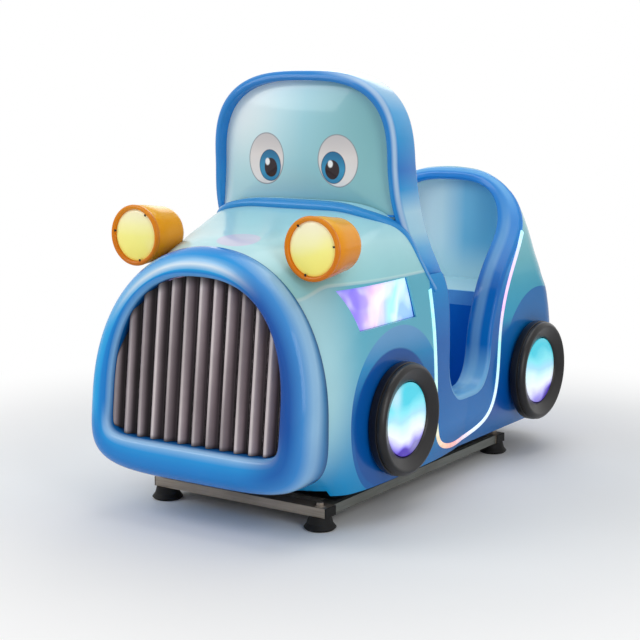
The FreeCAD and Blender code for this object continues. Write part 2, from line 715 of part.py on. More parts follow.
def connecting_rod():
    eyes = [rod_x(ROD_EYE_R, ROD_X0, ROD_X1, CRANK_Y, z) for z in (OUTPUT_Z, ROD_TOP_Z)]
    middle = (ROD_X0 + ROD_X1) / 2
    bar = rod_z(ROD_BAR_R, OUTPUT_Z + ROD_EYE_R / 2, ROD_TOP_Z - ROD_EYE_R / 2, middle, CRANK_Y)
    rod = eyes[0].fuse(bar).fuse(eyes[1])
    for z in (OUTPUT_Z, ROD_TOP_Z):
        rod = rod.cut(rod_x(PIN_R + RUNNING_CLEARANCE, ROD_X0, ROD_X1, CRANK_Y, z))
    return rod.removeSplitter()


def rod_tower():
    half = TOWER_LENGTH / 2
    rail_outer = SUBFRAME_X + SUBFRAME_TUBE / 2
    foot = box(TOWER_X0, rail_outer, CRANK_Y - half, CRANK_Y + half, SUBFRAME_Z1, SUBFRAME_Z1 + TOWER_T)
    wall = box(TOWER_X0, TOWER_X1, CRANK_Y - half, CRANK_Y + half, SUBFRAME_Z1, ROD_TOP_Z)
    head = rod_x(half, TOWER_X0, TOWER_X1, CRANK_Y, ROD_TOP_Z)
    tower = foot.fuse(wall).fuse(head)
    return tower.cut(rod_x(PIN_R + SEAT_CLEARANCE, TOWER_X0, TOWER_X1, CRANK_Y, ROD_TOP_Z)).removeSplitter()


def rod_pivot_stub():
    stub = rod_x(PIN_R, ROD_X1 + OPEN_PIVOT_GAP, TOWER_X1, CRANK_Y, ROD_TOP_Z)
    head = rod_x(TOWER_HEAD_R / 2 + PIN_R / 2, TOWER_X1, TOWER_X1 + PIN_HEAD_T, CRANK_Y, ROD_TOP_Z)
    return stub.fuse(head).removeSplitter()


# ---------------------------------------------------------------- rocking subframe
def subframe_rail():
    half = SUBFRAME_TUBE / 2
    return tube_y(SUBFRAME_X - half, SUBFRAME_X + half, SUBFRAME_FRONT_Y, SUBFRAME_REAR_Y,
                  SUBFRAME_Z0, SUBFRAME_Z1, SUBFRAME_WALL)


def subframe_cross_rails():
    """Tubes between the two long rails, and outriggers from them to the skin's inner face."""
    front_room = front_volume(SKIN + SEAT_GAP)
    rear_room = rear_volume(SKIN + SEAT_GAP)
    half = SUBFRAME_TUBE / 2
    inner_x = SUBFRAME_X - half
    outer_x = SUBFRAME_X + half
    pieces = []
    for y in CROSS_TUBES_Y + (PIVOT_TIE_Y,):
        pieces.append(tube_x(-inner_x, inner_x, y - half, y + half, SUBFRAME_Z0, SUBFRAME_Z1, SUBFRAME_WALL))
    for y in CROSS_TUBES_Y:
        room = front_room if y < JOIN_Y else rear_room
        tube = tube_x(outer_x, FAR, y - half, y + half, SUBFRAME_Z0, SUBFRAME_Z1, SUBFRAME_WALL)
        pieces += [tube.common(room), mirrored(tube).common(room)]
    return group(pieces)


# ---------------------------------------------------------------- body shells
def front_body_shell():
    shell = FRONT_OUTER.cut(SKIRT_CUT).cut(COCKPIT_CUT).cut(HOOP_REGION).cut(window_prism(0.0))
    foot_access = box(-FOOT_ACCESS_HALF, FOOT_ACCESS_HALF, FOOT_ACCESS_FRONT_Y, FOOT_ACCESS_REAR_Y,
                      SKIRT_Z, FOOT_ACCESS_TOP_Z)
    return clean(shell.cut(foot_access).cut(FRONT_INNER))


def door_opening(gap):
    return box(-DOOR_HALF_X - gap, DOOR_HALF_X + gap, REAR_Y - 3 * SKIN, REAR_Y + SKIN,
               DOOR_BOTTOM_Z - gap, DOOR_TOP_Z + gap)


def rear_body_shell():
    shell = REAR_OUTER.cut(SKIRT_CUT).cut(COCKPIT_CUT).cut(door_opening(DOOR_GAP))
    return clean(shell.cut(REAR_INNER))


def hoop_outline(inset):
    """Arch outline in XZ: a superellipse crown on legs that spread towards the sills."""
    count = SECTION_POINTS
    crown = []
    for step in range(count // 2 + 1):
        angle = math.pi / 2 * step / (count // 2)
        x = (HOOP_HALF - inset) * math.sin(angle) ** (2 / HOOP_POWER)
        z = HOOP_CENTRE_Z + (HOOP_TOP_Z - inset - HOOP_CENTRE_Z) * math.cos(angle) ** (2 / HOOP_POWER)
        crown.append((x, z))
    legs = []
    for step in range(1, 7):
        share = step / 6
        z = HOOP_CENTRE_Z + (HOOP_FOOT_Z - 20.0 - HOOP_CENTRE_Z) * share
        spread = (HOOP_CENTRE_Z - z) / (HOOP_CENTRE_Z - HOOP_SPREAD_Z)
        legs.append((HOOP_HALF - inset + HOOP_SPREAD * min(spread, 1.0) ** HOOP_SPREAD_POWER, z))
    right = crown + legs
    points = [(-x, z) for x, z in reversed(right)] + right[1:]
    curve = Part.BSplineCurve()
    curve.interpolate([Vector(x, 0, z) for x, z in points])
    base = Part.makeLine(curve.EndPoint, curve.StartPoint)
    return Part.Face(Part.Wire([curve.toShape(), base]))


def hoop_prism(inset, y0, y1):
    return hoop_outline(inset).translated(Vector(0, y0, 0)).extrude(Vector(0, y1 - y0, 0))


def cab_hoop():
    ring = hoop_prism(0.0, -FAR, FAR).cut(hoop_prism(HOOP_BAND, -FAR, FAR))
    return clean(ring.common(HOOP_REGION).cut(COCKPIT_CUT))


def windshield_panel(front_shell, dash):
    panel = hoop_prism(HOOP_BAND + PANEL_CLEARANCE, WINDSHIELD_Y, WINDSHIELD_Y + WINDSHIELD_T)
    panel = panel.cut(box(-FAR, FAR, -FAR, FAR, -FAR, DASH_TOP_Z))
    return clean(panel.cut(FRONT_OUTER.cut(HOOP_REGION)).cut(dash))


# ---------------------------------------------------------------- nose
def nose_y(z):
    """Front crest of the nose at a height: the nose leans back towards the top."""
    return NOSE_FRONT_Y + NOSE_RAKE * max(z - NOSE_BOTTOM_Z, 0.0)


def nose_wire(inset, share, depth_share):
    """Outer outline between the seam (share 0) and the crest (share 1), moved in by the inset."""
    pull = inset + NOSE_ROUND_INSET * share
    points = oval(NOSE_HALF - pull, NOSE_CENTRE_Z, NOSE_TOP_Z - pull, NOSE_BOTTOM_Z + pull,
                  NOSE_TOP_POWER, NOSE_BOTTOM_POWER)
    wire = []
    for x, z in points:
        crest = nose_y(z) + inset
        start = min(crest + NOSE_ROUND_DEPTH, NOSE_SEAM_Y - NOSE_WALL)
        wire.append(Vector(x, start + (crest - start) * depth_share, z))
    return closed_spline(wire)


def nose_outer(inset):
    """Bullnosed block: flank from the seam, then a quarter round to the crest."""
    seam = closed_spline([Vector(x, NOSE_SEAM_Y, z) for x, z in oval(
        NOSE_HALF - inset, NOSE_CENTRE_Z, NOSE_TOP_Z - inset, NOSE_BOTTOM_Z + inset,
        NOSE_TOP_POWER, NOSE_BOTTOM_POWER)])
    wires = [seam]
    for step in range(NOSE_ROUND_STEPS + 1):
        angle = math.pi / 2 * step / NOSE_ROUND_STEPS
        wires.append(nose_wire(inset, 1 - math.cos(angle), math.sin(angle)))
    return Part.makeLoft(wires, True, True)


def mouth_wire(grow, back):
    points = oval(MOUTH_HALF + grow, MOUTH_CENTRE_Z, MOUTH_TOP_Z + grow, MOUTH_BOTTOM_Z - grow,
                  MOUTH_TOP_POWER, MOUTH_BOTTOM_POWER)
    return closed_spline([Vector(x, nose_y(z) + back, z) for x, z in points])


def mouth_pocket(wall):
    """Void of the mouth: flared at the lip, then straight back to the grille and beyond."""
    wires = [mouth_wire(MOUTH_LIP + wall, -2 * MOUTH_LIP), mouth_wire(MOUTH_LIP + wall, 0.0),
             mouth_wire(MOUTH_LIP / 3 + wall, MOUTH_LIP / 2), mouth_wire(wall, 1.5 * MOUTH_LIP),
             mouth_wire(wall, MOUTH_DEPTH), mouth_wire(wall, 4 * MOUTH_DEPTH)]
    return Part.makeLoft(wires, True, True)


def nose_surround():
    solid = nose_outer(0.0).cut(mouth_pocket(0.0))
    hollow = nose_outer(NOSE_WALL).cut(mouth_pocket(NOSE_WALL))
    hollow = hollow.common(box(-FAR, FAR, -FAR, NOSE_SEAM_Y - NOSE_WALL, -FAR, FAR))
    return clean(solid.cut(hollow))


def grille_slab(front, back):
    wires = [mouth_wire(-PANEL_CLEARANCE, front), mouth_wire(-PANEL_CLEARANCE, back)]
    return Part.makeLoft(wires, True, True)


def grille_backing():
    return grille_slab(MOUTH_DEPTH, MOUTH_DEPTH + GRILLE_T)


def grille_ribs():
    room = grille_slab(MOUTH_DEPTH - RIB_DEPTH, MOUTH_DEPTH)
    ribs = []
    for index in range(RIB_COUNT):
        x = (index - (RIB_COUNT - 1) / 2) * RIB_PITCH
        bar = box(x - RIB_WIDTH / 2, x + RIB_WIDTH / 2, NOSE_FRONT_Y, 0.0, MOUTH_BOTTOM_Z, MOUTH_TOP_Z)
        ribs.append(bar.common(room))
    return group(ribs)


# ---------------------------------------------------------------- headlights
def lamp_profile(offset):
    """Half profile of the lamp can, offset inwards, as (radius, y) corners of a revolved face."""
    back = LAMP_Y + LAMP_LENGTH - offset
    front_r = LAMP_R - offset
    back_r = LAMP_BACK_R - offset
    turn = LAMP_BACK_ROUND - offset / 2
    points = [Vector(0, LAMP_Y, 0), Vector(front_r, LAMP_Y, 0), Vector(back_r, back - turn, 0)]
    middle = Vector(back_r - turn * (1 - math.sqrt(0.5)), back - turn * (1 - math.sqrt(0.5)), 0)
    arc = Part.Arc(points[2], middle, Vector(back_r - turn, back, 0)).toShape()
    end = [Vector(back_r - turn, back, 0), Vector(0, back, 0), Vector(0, LAMP_Y, 0)]
    edges = [Part.makeLine(points[0], points[1]), Part.makeLine(points[1], points[2]), arc,
             Part.makeLine(end[0], end[1]), Part.makeLine(end[1], end[2])]
    return Part.Face(Part.Wire(edges))


def lamp_volume(offset):
    solid = lamp_profile(offset).revolve(Vector(0, 0, 0), Vector(0, 1, 0), 360)
    return solid.translated(Vector(LAMP_X, 0, LAMP_Z))


def headlight_shell():
    rim = rod_y(LAMP_R - LAMP_RIM, LAMP_Y - 1.0, LAMP_Y + LAMP_RIM, LAMP_X, LAMP_Z)
    cavity = lamp_volume(LAMP_WALL).common(box(-FAR, FAR, LAMP_Y + LAMP_RIM, FAR, -FAR, BOX_TOP))
    shell = lamp_volume(0.0).cut(cavity).cut(rim)
    return clean(shell.cut(FRONT_OUTER))


def headlight_lens():
    radius = LAMP_R - LAMP_RIM - LENS_CLEARANCE
    ball_r = (radius ** 2 + LAMP_LENS_BULGE ** 2) / (2 * LAMP_LENS_BULGE)
    centre = Vector(LAMP_X, LAMP_Y - LAMP_LENS_BULGE + LAMP_LENS_SETBACK + ball_r, LAMP_Z)
    ball = Part.makeSphere(ball_r, centre)
    disc = rod_y(radius, LAMP_Y - LAMP_LENS_BULGE, LAMP_Y + LAMP_RIM, LAMP_X, LAMP_Z)
    return clean(disc.common(ball))


def lens_clips():
    clips = []
    reach = LAMP_R - LAMP_RIM
    for angle in CLIP_ANGLES:
        clip = box(reach - CLIP_LENGTH / 2, reach + CLIP_LENGTH / 2, LAMP_Y - CLIP_T, LAMP_Y,
                   -CLIP_WIDTH / 2, CLIP_WIDTH / 2)
        clip.rotate(Vector(0, 0, 0), Vector(0, 1, 0), -angle)
        clip = clip.translated(Vector(LAMP_X, 0, LAMP_Z))
        clips += [clip, mirrored(clip)]
    return group(clips)


# ---------------------------------------------------------------- side trim
def led_strips():
    """One strip on each side, both cut from the same band across the body."""
    strips = band(LED_LINE, -LED_WIDTH / 2, LED_WIDTH / 2)
    front = strips.common(front_volume(-LED_PROUD)).cut(FRONT_SEATED)
    rear = strips.common(rear_volume(-LED_PROUD)).cut(REAR_SEATED)
    return clean(front.fuse(rear))


def side_light_frame():
    ring = window_prism(SIDE_WINDOW_FRAME).cut(window_prism(0.0)).common(box(SUBFRAME_X, FAR, -FAR, FAR, -FAR, FAR))
    return clean(ring.common(FRONT_INNER).cut(front_volume(SKIN + SIDE_WINDOW_FRAME_DEPTH)))


def side_light_lens():
    prism = window_prism(-LENS_CLEARANCE).common(box(SUBFRAME_X, FAR, -FAR, FAR, -FAR, FAR))
    return clean(prism.common(front_volume(SIDE_LENS_INSET)).cut(front_volume(SIDE_LENS_INSET + SIDE_LENS_T)))


# ---------------------------------------------------------------- wheels
def tyre(y):
    x0 = WHEEL_INNER_X
    x1 = WHEEL_OUTER_X
    bevel = WHEEL_SHOULDER
    profile = [(x0, WHEEL_HOLE_R), (x0, WHEEL_R - bevel), (x0 + bevel / 2, WHEEL_R), (x1 - bevel, WHEEL_R),
               (x1 - bevel / 4, WHEEL_R - bevel / 2), (x1, WHEEL_R - bevel), (x1 - bevel / 4, WHEEL_HOLE_R + bevel / 4),
               (x1 - bevel / 2, WHEEL_HOLE_R)]
    corners = [Vector(x, 0, r) for x, r in profile]
    face = Part.Face(Part.makePolygon(corners + corners[:1]))
    return face.revolve(Vector(0, 0, 0), Vector(1, 0, 0), 360).translated(Vector(0, y, WHEEL_Z))


def wheel_back_pair(y):
    """Discs against the skin on both sides, each with a spacer boss that carries its lens."""
    disc = rod_x(HUB_R, WHEEL_INNER_X, WHEEL_INNER_X + HUB_T, y, WHEEL_Z)
    boss = rod_x(SPACER_R, WHEEL_INNER_X - SPACER_R, WHEEL_LENS_X - WHEEL_LENS_T, y, WHEEL_Z)
    body = FRONT_SEATED if y < JOIN_Y else REAR_SEATED
    back = disc.fuse(boss)
    return [clean(back.cut(body)), clean(mirrored(back).cut(body))]


def wheel_lens(y):
    return rod_x(WHEEL_LENS_R, WHEEL_LENS_X - WHEEL_LENS_T, WHEEL_LENS_X, y, WHEEL_Z)


# ---------------------------------------------------------------- cockpit lining
def seat_cavity(inset):
    """Room inside the seat arch: narrower than the body, and open to the front."""
    half = TUB_HALF + inset
    top = DOME_Z - ARCH_RIM_TOP + inset
    points = oval(half, SHOULDER_Z, top, SUBFRAME_Z0, DOME_POWER, 2 * SKIRT_POWER)
    wire = closed_spline([Vector(x, JOIN_Y, z) for x, z in points])
    prism = Part.Face(wire).extrude(Vector(0, FAR, 0))
    end = BUCKET_REAR_Y + inset
    corner = BUCKET_CORNER
    turn = corner * (1 - math.sqrt(0.5))
    p = [Vector(half, JOIN_Y, 0), Vector(half, end - corner, 0), Vector(half - turn, end - turn, 0),
         Vector(half - corner, end, 0)]
    q = [Vector(-v.x, v.y, 0) for v in reversed(p)]
    plan = Part.Wire([Part.makeLine(p[0], p[1]), Part.Arc(*p[1:4]).toShape(), Part.makeLine(p[3], q[0]),
                      Part.Arc(*q[0:3]).toShape(), Part.makeLine(q[2], q[3]), Part.makeLine(q[3], p[0])])
    return prism.common(Part.Face(plan).extrude(Vector(0, 0, BOX_TOP)))


def tub_room():
    """Foot room between the lining walls, ahead of the join."""
    return box(-TUB_HALF, TUB_HALF, -FAR, JOIN_Y, -FAR, BOX_TOP)


def entry_rim():
    """Return flange that follows the cockpit edge, from the door edge over the sill and round the arch."""
    skirt = group([FRONT_INNER, REAR_INNER])
    rim = band(COCKPIT_EDGE, -RIM_T, 0.0).common(skirt)
    rim = rim.cut(tub_room()).cut(seat_cavity(0.0))
    return clean(rim.cut(HOOP_REGION))


def inner_side_panel():
    wall = box(TUB_HALF, TUB_HALF + TUB_WALL, DASH_FACE_Y, RISER_Y, SUBFRAME_Z1, DASH_BOTTOM_Z)
    return clean(wall.cut(across_below_rim()))


def across_below_rim():
    """Everything above the underside of the entry rim."""
    low = open_spline(offset_points(COCKPIT_CURVE, -RIM_T))
    return across(side_face(low, [(low.EndPoint.y, BOX_TOP), (low.StartPoint.y, BOX_TOP)]))


def floor_pan():
    return box(-TUB_HALF, TUB_HALF, DASH_FACE_Y, RISER_Y, SUBFRAME_Z1, FLOOR_Z1)


def seat_riser():
    return box(-TUB_HALF, TUB_HALF, RISER_Y, RISER_Y + RISER_T, SUBFRAME_Z1, BENCH_Z - BENCH_T)


def seat_bench():
    slab = box(-FAR, FAR, RISER_Y, BUCKET_REAR_Y, BENCH_Z - BENCH_T, BENCH_Z)
    return clean(slab.common(seat_cavity(0.0)).cut(across_below_rim()))


def seat_bucket():
    skin = seat_cavity(BUCKET_T).cut(seat_cavity(0.0))
    skin = skin.common(box(-FAR, FAR, RISER_Y, FAR, BENCH_Z - BENCH_T, BOX_TOP))
    return clean(skin.cut(across_below_rim()).common(REAR_INNER))


# ---------------------------------------------------------------- dashboard, firewall, controls
def tilted(shape):
    """Turn something built along +Y so that it follows the steering column."""
    shape = shape.copy()
    shape.rotate(Vector(0, 0, 0), Vector(1, 0, 0), COLUMN_TILT)
    return shape.translated(Vector(0, DASH_FACE_Y, COLUMN_Z))


def along_column(radius, start, end):
    return tilted(rod_y(radius, start, end, 0, 0))


def dashboard():
    face = box(-FAR, FAR, DASH_Y, DASH_FACE_Y, DASH_BOTTOM_Z, DASH_TOP_Z)
    shelf = box(-FAR, FAR, WINDSHIELD_Y, DASH_FACE_Y, DASH_TOP_Z - DASH_T, DASH_TOP_Z)
    room = hoop_prism(HOOP_BAND + PANEL_CLEARANCE, -FAR, FAR).cut(FRONT_OUTER.cut(HOOP_REGION))
    dash = face.fuse(shelf).common(room)
    dash = dash.cut(along_column(COLUMN_TAIL_R + BOLT_CLEARANCE, -COLUMN_TAIL_IN, COLUMN_TAIL_IN))
    dash = dash.cut(rod_y(BUTTON_R + BUTTON_FREE + DASH_T, DASH_Y, DASH_FACE_Y, BUTTON_X, BUTTON_Z))
    slot = box(COIN_X - COIN_HALF_X / 2, COIN_X + COIN_HALF_X / 2, DASH_Y, DASH_FACE_Y,
               COIN_Z - COIN_HALF_Z / 2, COIN_Z + COIN_HALF_Z / 2)
    return clean(dash.cut(slot))


def speaker_holes():
    holes = []
    for column in range(-SPEAKER_HOLE_ROWS, SPEAKER_HOLE_ROWS + 1):
        for row in range(-SPEAKER_HOLE_ROWS, SPEAKER_HOLE_ROWS + 1):
            x = column * SPEAKER_HOLE_PITCH
            z = row * SPEAKER_HOLE_PITCH
            if math.hypot(x, z) < SPEAKER_R - SPEAKER_HOLE_PITCH / 2:
                holes.append(rod_y(SPEAKER_HOLE_R, DASH_Y - 1.0, DASH_FACE_Y + 1.0, x, SPEAKER_Z + z))
    return Part.makeCompound(holes)


def firewall():
    wall = box(-FAR, FAR, DASH_Y, DASH_FACE_Y, SUBFRAME_Z1, DASH_TOP_Z)
    return clean(wall.common(FRONT_INNER).cut(HOOP_REGION).cut(speaker_holes()))


def speaker():
    y1 = DASH_Y
    frame = rod_y(SPEAKER_R, y1 - RIM_T, y1, 0, SPEAKER_Z)
    frame = frame.cut(rod_y(SPEAKER_R - SPEAKER_HOLE_PITCH / 2, y1 - RIM_T, y1, 0, SPEAKER_Z))
    cone = Part.makeCone(SPEAKER_R / 2, SPEAKER_R - 1.0, SPEAKER_DEPTH - RIM_T,
                         Vector(0, y1 - SPEAKER_DEPTH, SPEAKER_Z), Vector(0, 1, 0))
    return cone.fuse(frame).removeSplitter()


def control_box():
    width, depth, height = CONTROL_BOX
    return box(-width / 2, width / 2, DASH_Y - depth, DASH_Y, CONTROL_Z - height - SPEAKER_R, CONTROL_Z - SPEAKER_R)


def column_boss():
    outside = along_column(COLUMN_BOSS_R, -COLUMN_BOSS_OUT, COLUMN_BOSS_OUT)
    outside = outside.common(box(-FAR, FAR, DASH_FACE_Y, FAR, 0, BOX_TOP))
    tail = along_column(COLUMN_TAIL_R, -COLUMN_TAIL_IN, 1.0)
    boss = outside.fuse(tail)
    return boss.cut(along_column(COLUMN_R + RUNNING_CLEARANCE, -FAR / 4, FAR / 4)).removeSplitter()


def steering_shaft():
    shaft = along_column(COLUMN_R, -COLUMN_TAIL_IN - COLLAR_T - END_FLOAT, WHEEL_OUT)
    collar = along_column(COLLAR_R, -COLUMN_TAIL_IN - COLLAR_T - END_FLOAT, -COLUMN_TAIL_IN - END_FLOAT)
    return shaft.fuse(collar).removeSplitter()


def steering_wheel():
    rim = Part.makeTorus(WHEEL_RIM_R, WHEEL_RIM_TUBE, Vector(0, WHEEL_OUT, 0), Vector(0, 1, 0))
    half = STEER_HUB_T / 2
    hub = rod_y(STEER_HUB_R, WHEEL_OUT - half, WHEEL_OUT + half, 0, 0)
    wheel = rim.fuse(hub)
    for index in range(SPOKE_COUNT):
        spoke = Part.makeCylinder(SPOKE_R, WHEEL_RIM_R - STEER_HUB_R / 2, Vector(STEER_HUB_R / 2, WHEEL_OUT, 0),
                                  Vector(1, 0, 0))
        spoke.rotate(Vector(0, 0, 0), Vector(0, 1, 0), -90 + 360 * index / SPOKE_COUNT)
        wheel = wheel.fuse(spoke)
    wheel = wheel.cut(rod_y(COLUMN_R + SEAT_CLEARANCE, 0, WHEEL_OUT, 0, 0))
    wheel = wheel.cut(rod_y(HORN_R + BUTTON_FREE, WHEEL_OUT + half - HORN_DEPTH, FAR, 0, 0))
    return tilted(wheel.removeSplitter())


def horn_button():
    top = WHEEL_OUT + STEER_HUB_T / 2
    cap = rod_y(HORN_R, top - HORN_DEPTH + HORN_PROUD, top + HORN_PROUD, 0, 0)
    edge = [e for e in cap.Edges if abs(e.CenterOfMass.y - top - HORN_PROUD) < 1e-6 and e.Length > HORN_R]
    return tilted(cap.makeFillet(HORN_PROUD / 2, edge))


def button_housing():
    """Bezel on the dashboard and a cup behind it that guides the start button."""
    cup_r = BUTTON_R + BUTTON_FREE
    outer_r = cup_r + DASH_T - BOLT_CLEARANCE
    bezel = rod_y(BUTTON_BEZEL_R, DASH_FACE_Y, DASH_FACE_Y + BUTTON_BEZEL_T, BUTTON_X, BUTTON_Z)
    cup = rod_y(outer_r, DASH_FACE_Y - BUTTON_DEPTH, DASH_FACE_Y, BUTTON_X, BUTTON_Z)
    bore = rod_y(cup_r, DASH_FACE_Y - BUTTON_DEPTH + DASH_T, FAR, BUTTON_X, BUTTON_Z)
    return bezel.fuse(cup).cut(bore).removeSplitter()


def start_button():
    y0 = DASH_FACE_Y - BUTTON_DEPTH / 2 + DASH_T
    y1 = DASH_FACE_Y + BUTTON_BEZEL_T + BUTTON_PROUD
    cap = rod_y(BUTTON_R, y0, y1, BUTTON_X, BUTTON_Z)
    edge = [e for e in cap.Edges if abs(e.CenterOfMass.y - y1) < 1e-6 and e.Length > BUTTON_R]
    return cap.makeFillet(BUTTON_PROUD / 3, edge)


def coin_acceptor():
    plate = box(COIN_X - COIN_HALF_X, COIN_X + COIN_HALF_X, DASH_FACE_Y, DASH_FACE_Y + COIN_T,
                COIN_Z - COIN_HALF_Z, COIN_Z + COIN_HALF_Z)
    fit = BOLT_CLEARANCE
    body = box(COIN_X - COIN_HALF_X / 2 + fit, COIN_X + COIN_HALF_X / 2 - fit, DASH_Y - COIN_DEPTH, DASH_FACE_Y,
               COIN_Z - COIN_HALF_Z / 2 + fit, COIN_Z + COIN_HALF_Z / 2 - fit)
    slot = box(COIN_X - COIN_SLOT_W / 2, COIN_X + COIN_SLOT_W / 2, DASH_FACE_Y + COIN_T - COIN_SLOT_DEPTH, FAR,
               COIN_Z - COIN_SLOT_H / 2, COIN_Z + COIN_SLOT_H / 2)
    return plate.fuse(body).cut(slot).removeSplitter()


def cash_box():
    """Box under the coin chute, hung on the front of the dashboard."""
    width, depth, height = CASH_BOX
    top = COIN_Z - COIN_HALF_Z / 2 + BOLT_CLEARANCE
    outer = box(COIN_X - width / 2, COIN_X + width / 2, DASH_Y - depth, DASH_Y, top - height, top)
    inner = box(COIN_X - width / 2 + TUB_WALL, COIN_X + width / 2 - TUB_WALL, DASH_Y - depth + TUB_WALL,
                DASH_Y - TUB_WALL, top - height + TUB_WALL, top)
    return outer.cut(inner)


def power_inlet():
    width, depth, height = INLET_SIZE
    y1 = FOOT_REAR_Y - PLATE_END_GAP
    case = box(INLET_X - width / 2, INLET_X + width / 2, y1 - depth, y1, PLATE_Z1, PLATE_Z1 + height)
    socket_room = box(INLET_X - width / 3, INLET_X + width / 3, y1 - depth / 3, y1,
                      PLATE_Z1 + height / 4, PLATE_Z1 + height * 3 / 4)
    return case.cut(socket_room)


# ---------------------------------------------------------------- rear door
def hinge_x():
    return -DOOR_HALF_X - DOOR_GAP / 2


def hinge_y():
    return REAR_Y + HINGE_STANDOFF + HINGE_R


def service_door():
    door = box(-DOOR_HALF_X, DOOR_HALF_X, REAR_Y - SKIN, REAR_Y, DOOR_BOTTOM_Z, DOOR_TOP_Z)
    return door.cut(rod_y(LOCK_BODY_R + RUNNING_CLEARANCE, REAR_Y - SKIN, REAR_Y, lock_x(), door_middle_z()))


def door_middle_z():
    return (DOOR_BOTTOM_Z + DOOR_TOP_Z) / 2


def lock_x():
    return DOOR_HALF_X - LOCK_CAM_LENGTH / 2 - LOCK_R / 2


def knuckle(z0, z1):
    barrel = rod_z(HINGE_R, z0, z1, hinge_x(), hinge_y())
    return barrel, rod_z(HINGE_PIN_R + RUNNING_CLEARANCE, z0, z1, hinge_x(), hinge_y())


def hinge_leaf(on_door):
    """One leaf: the door's has the middle knuckle, the body's the two outer ones."""
    z0 = door_middle_z() - HINGE_LENGTH / 2
    third = HINGE_LENGTH / 3
    spans = [(z0 + third, z0 + 2 * third)] if on_door else [(z0, z0 + third), (z0 + 2 * third, z0 + 3 * third)]
    side = 1 if on_door else -1
    back_y = REAR_Y if on_door else REAR_Y + HINGE_STANDOFF
    leaf = None
    for low, high in spans:
        low += HINGE_AXIAL_GAP if on_door else 0.0
        high -= HINGE_AXIAL_GAP if on_door else 0.0
        barrel, bore = knuckle(low, high)
        x_a, x_b = sorted((hinge_x() + side * 1.2, hinge_x() + side * HINGE_LEAF_W))
        plate = box(x_a, x_b, back_y, back_y + HINGE_LEAF_T, low, high)
        piece = barrel.fuse(plate).cut(bore)
        leaf = piece if leaf is None else leaf.fuse(piece)
    if not on_door:
        x_a = hinge_x() - HINGE_LEAF_W
        leaf = leaf.fuse(box(x_a, x_a + HINGE_LEAF_W / 2, back_y, back_y + HINGE_LEAF_T, z0, z0 + HINGE_LENGTH))
    return leaf.removeSplitter()


def hinge_pin():
    z0 = door_middle_z() - HINGE_LENGTH / 2
    return rod_z(HINGE_PIN_R, z0, z0 + HINGE_LENGTH, hinge_x(), hinge_y())


def door_lock():
    """Cam lock, drawn unlocked: a quarter turn swings its cam behind the body's edge."""
    x = lock_x()
    z = door_middle_z()
    face = rod_y(LOCK_R, REAR_Y, REAR_Y + LOCK_PROUD, x, z)
    barrel = rod_y(LOCK_BODY_R, REAR_Y - LOCK_DEPTH, REAR_Y, x, z)
    cam = box(x - LOCK_BODY_R, x + LOCK_BODY_R, REAR_Y - LOCK_DEPTH - LOCK_CAM_T, REAR_Y - LOCK_DEPTH,
              z - LOCK_BODY_R, z + LOCK_CAM_LENGTH)
    return face.fuse(barrel).fuse(cam).removeSplitter()


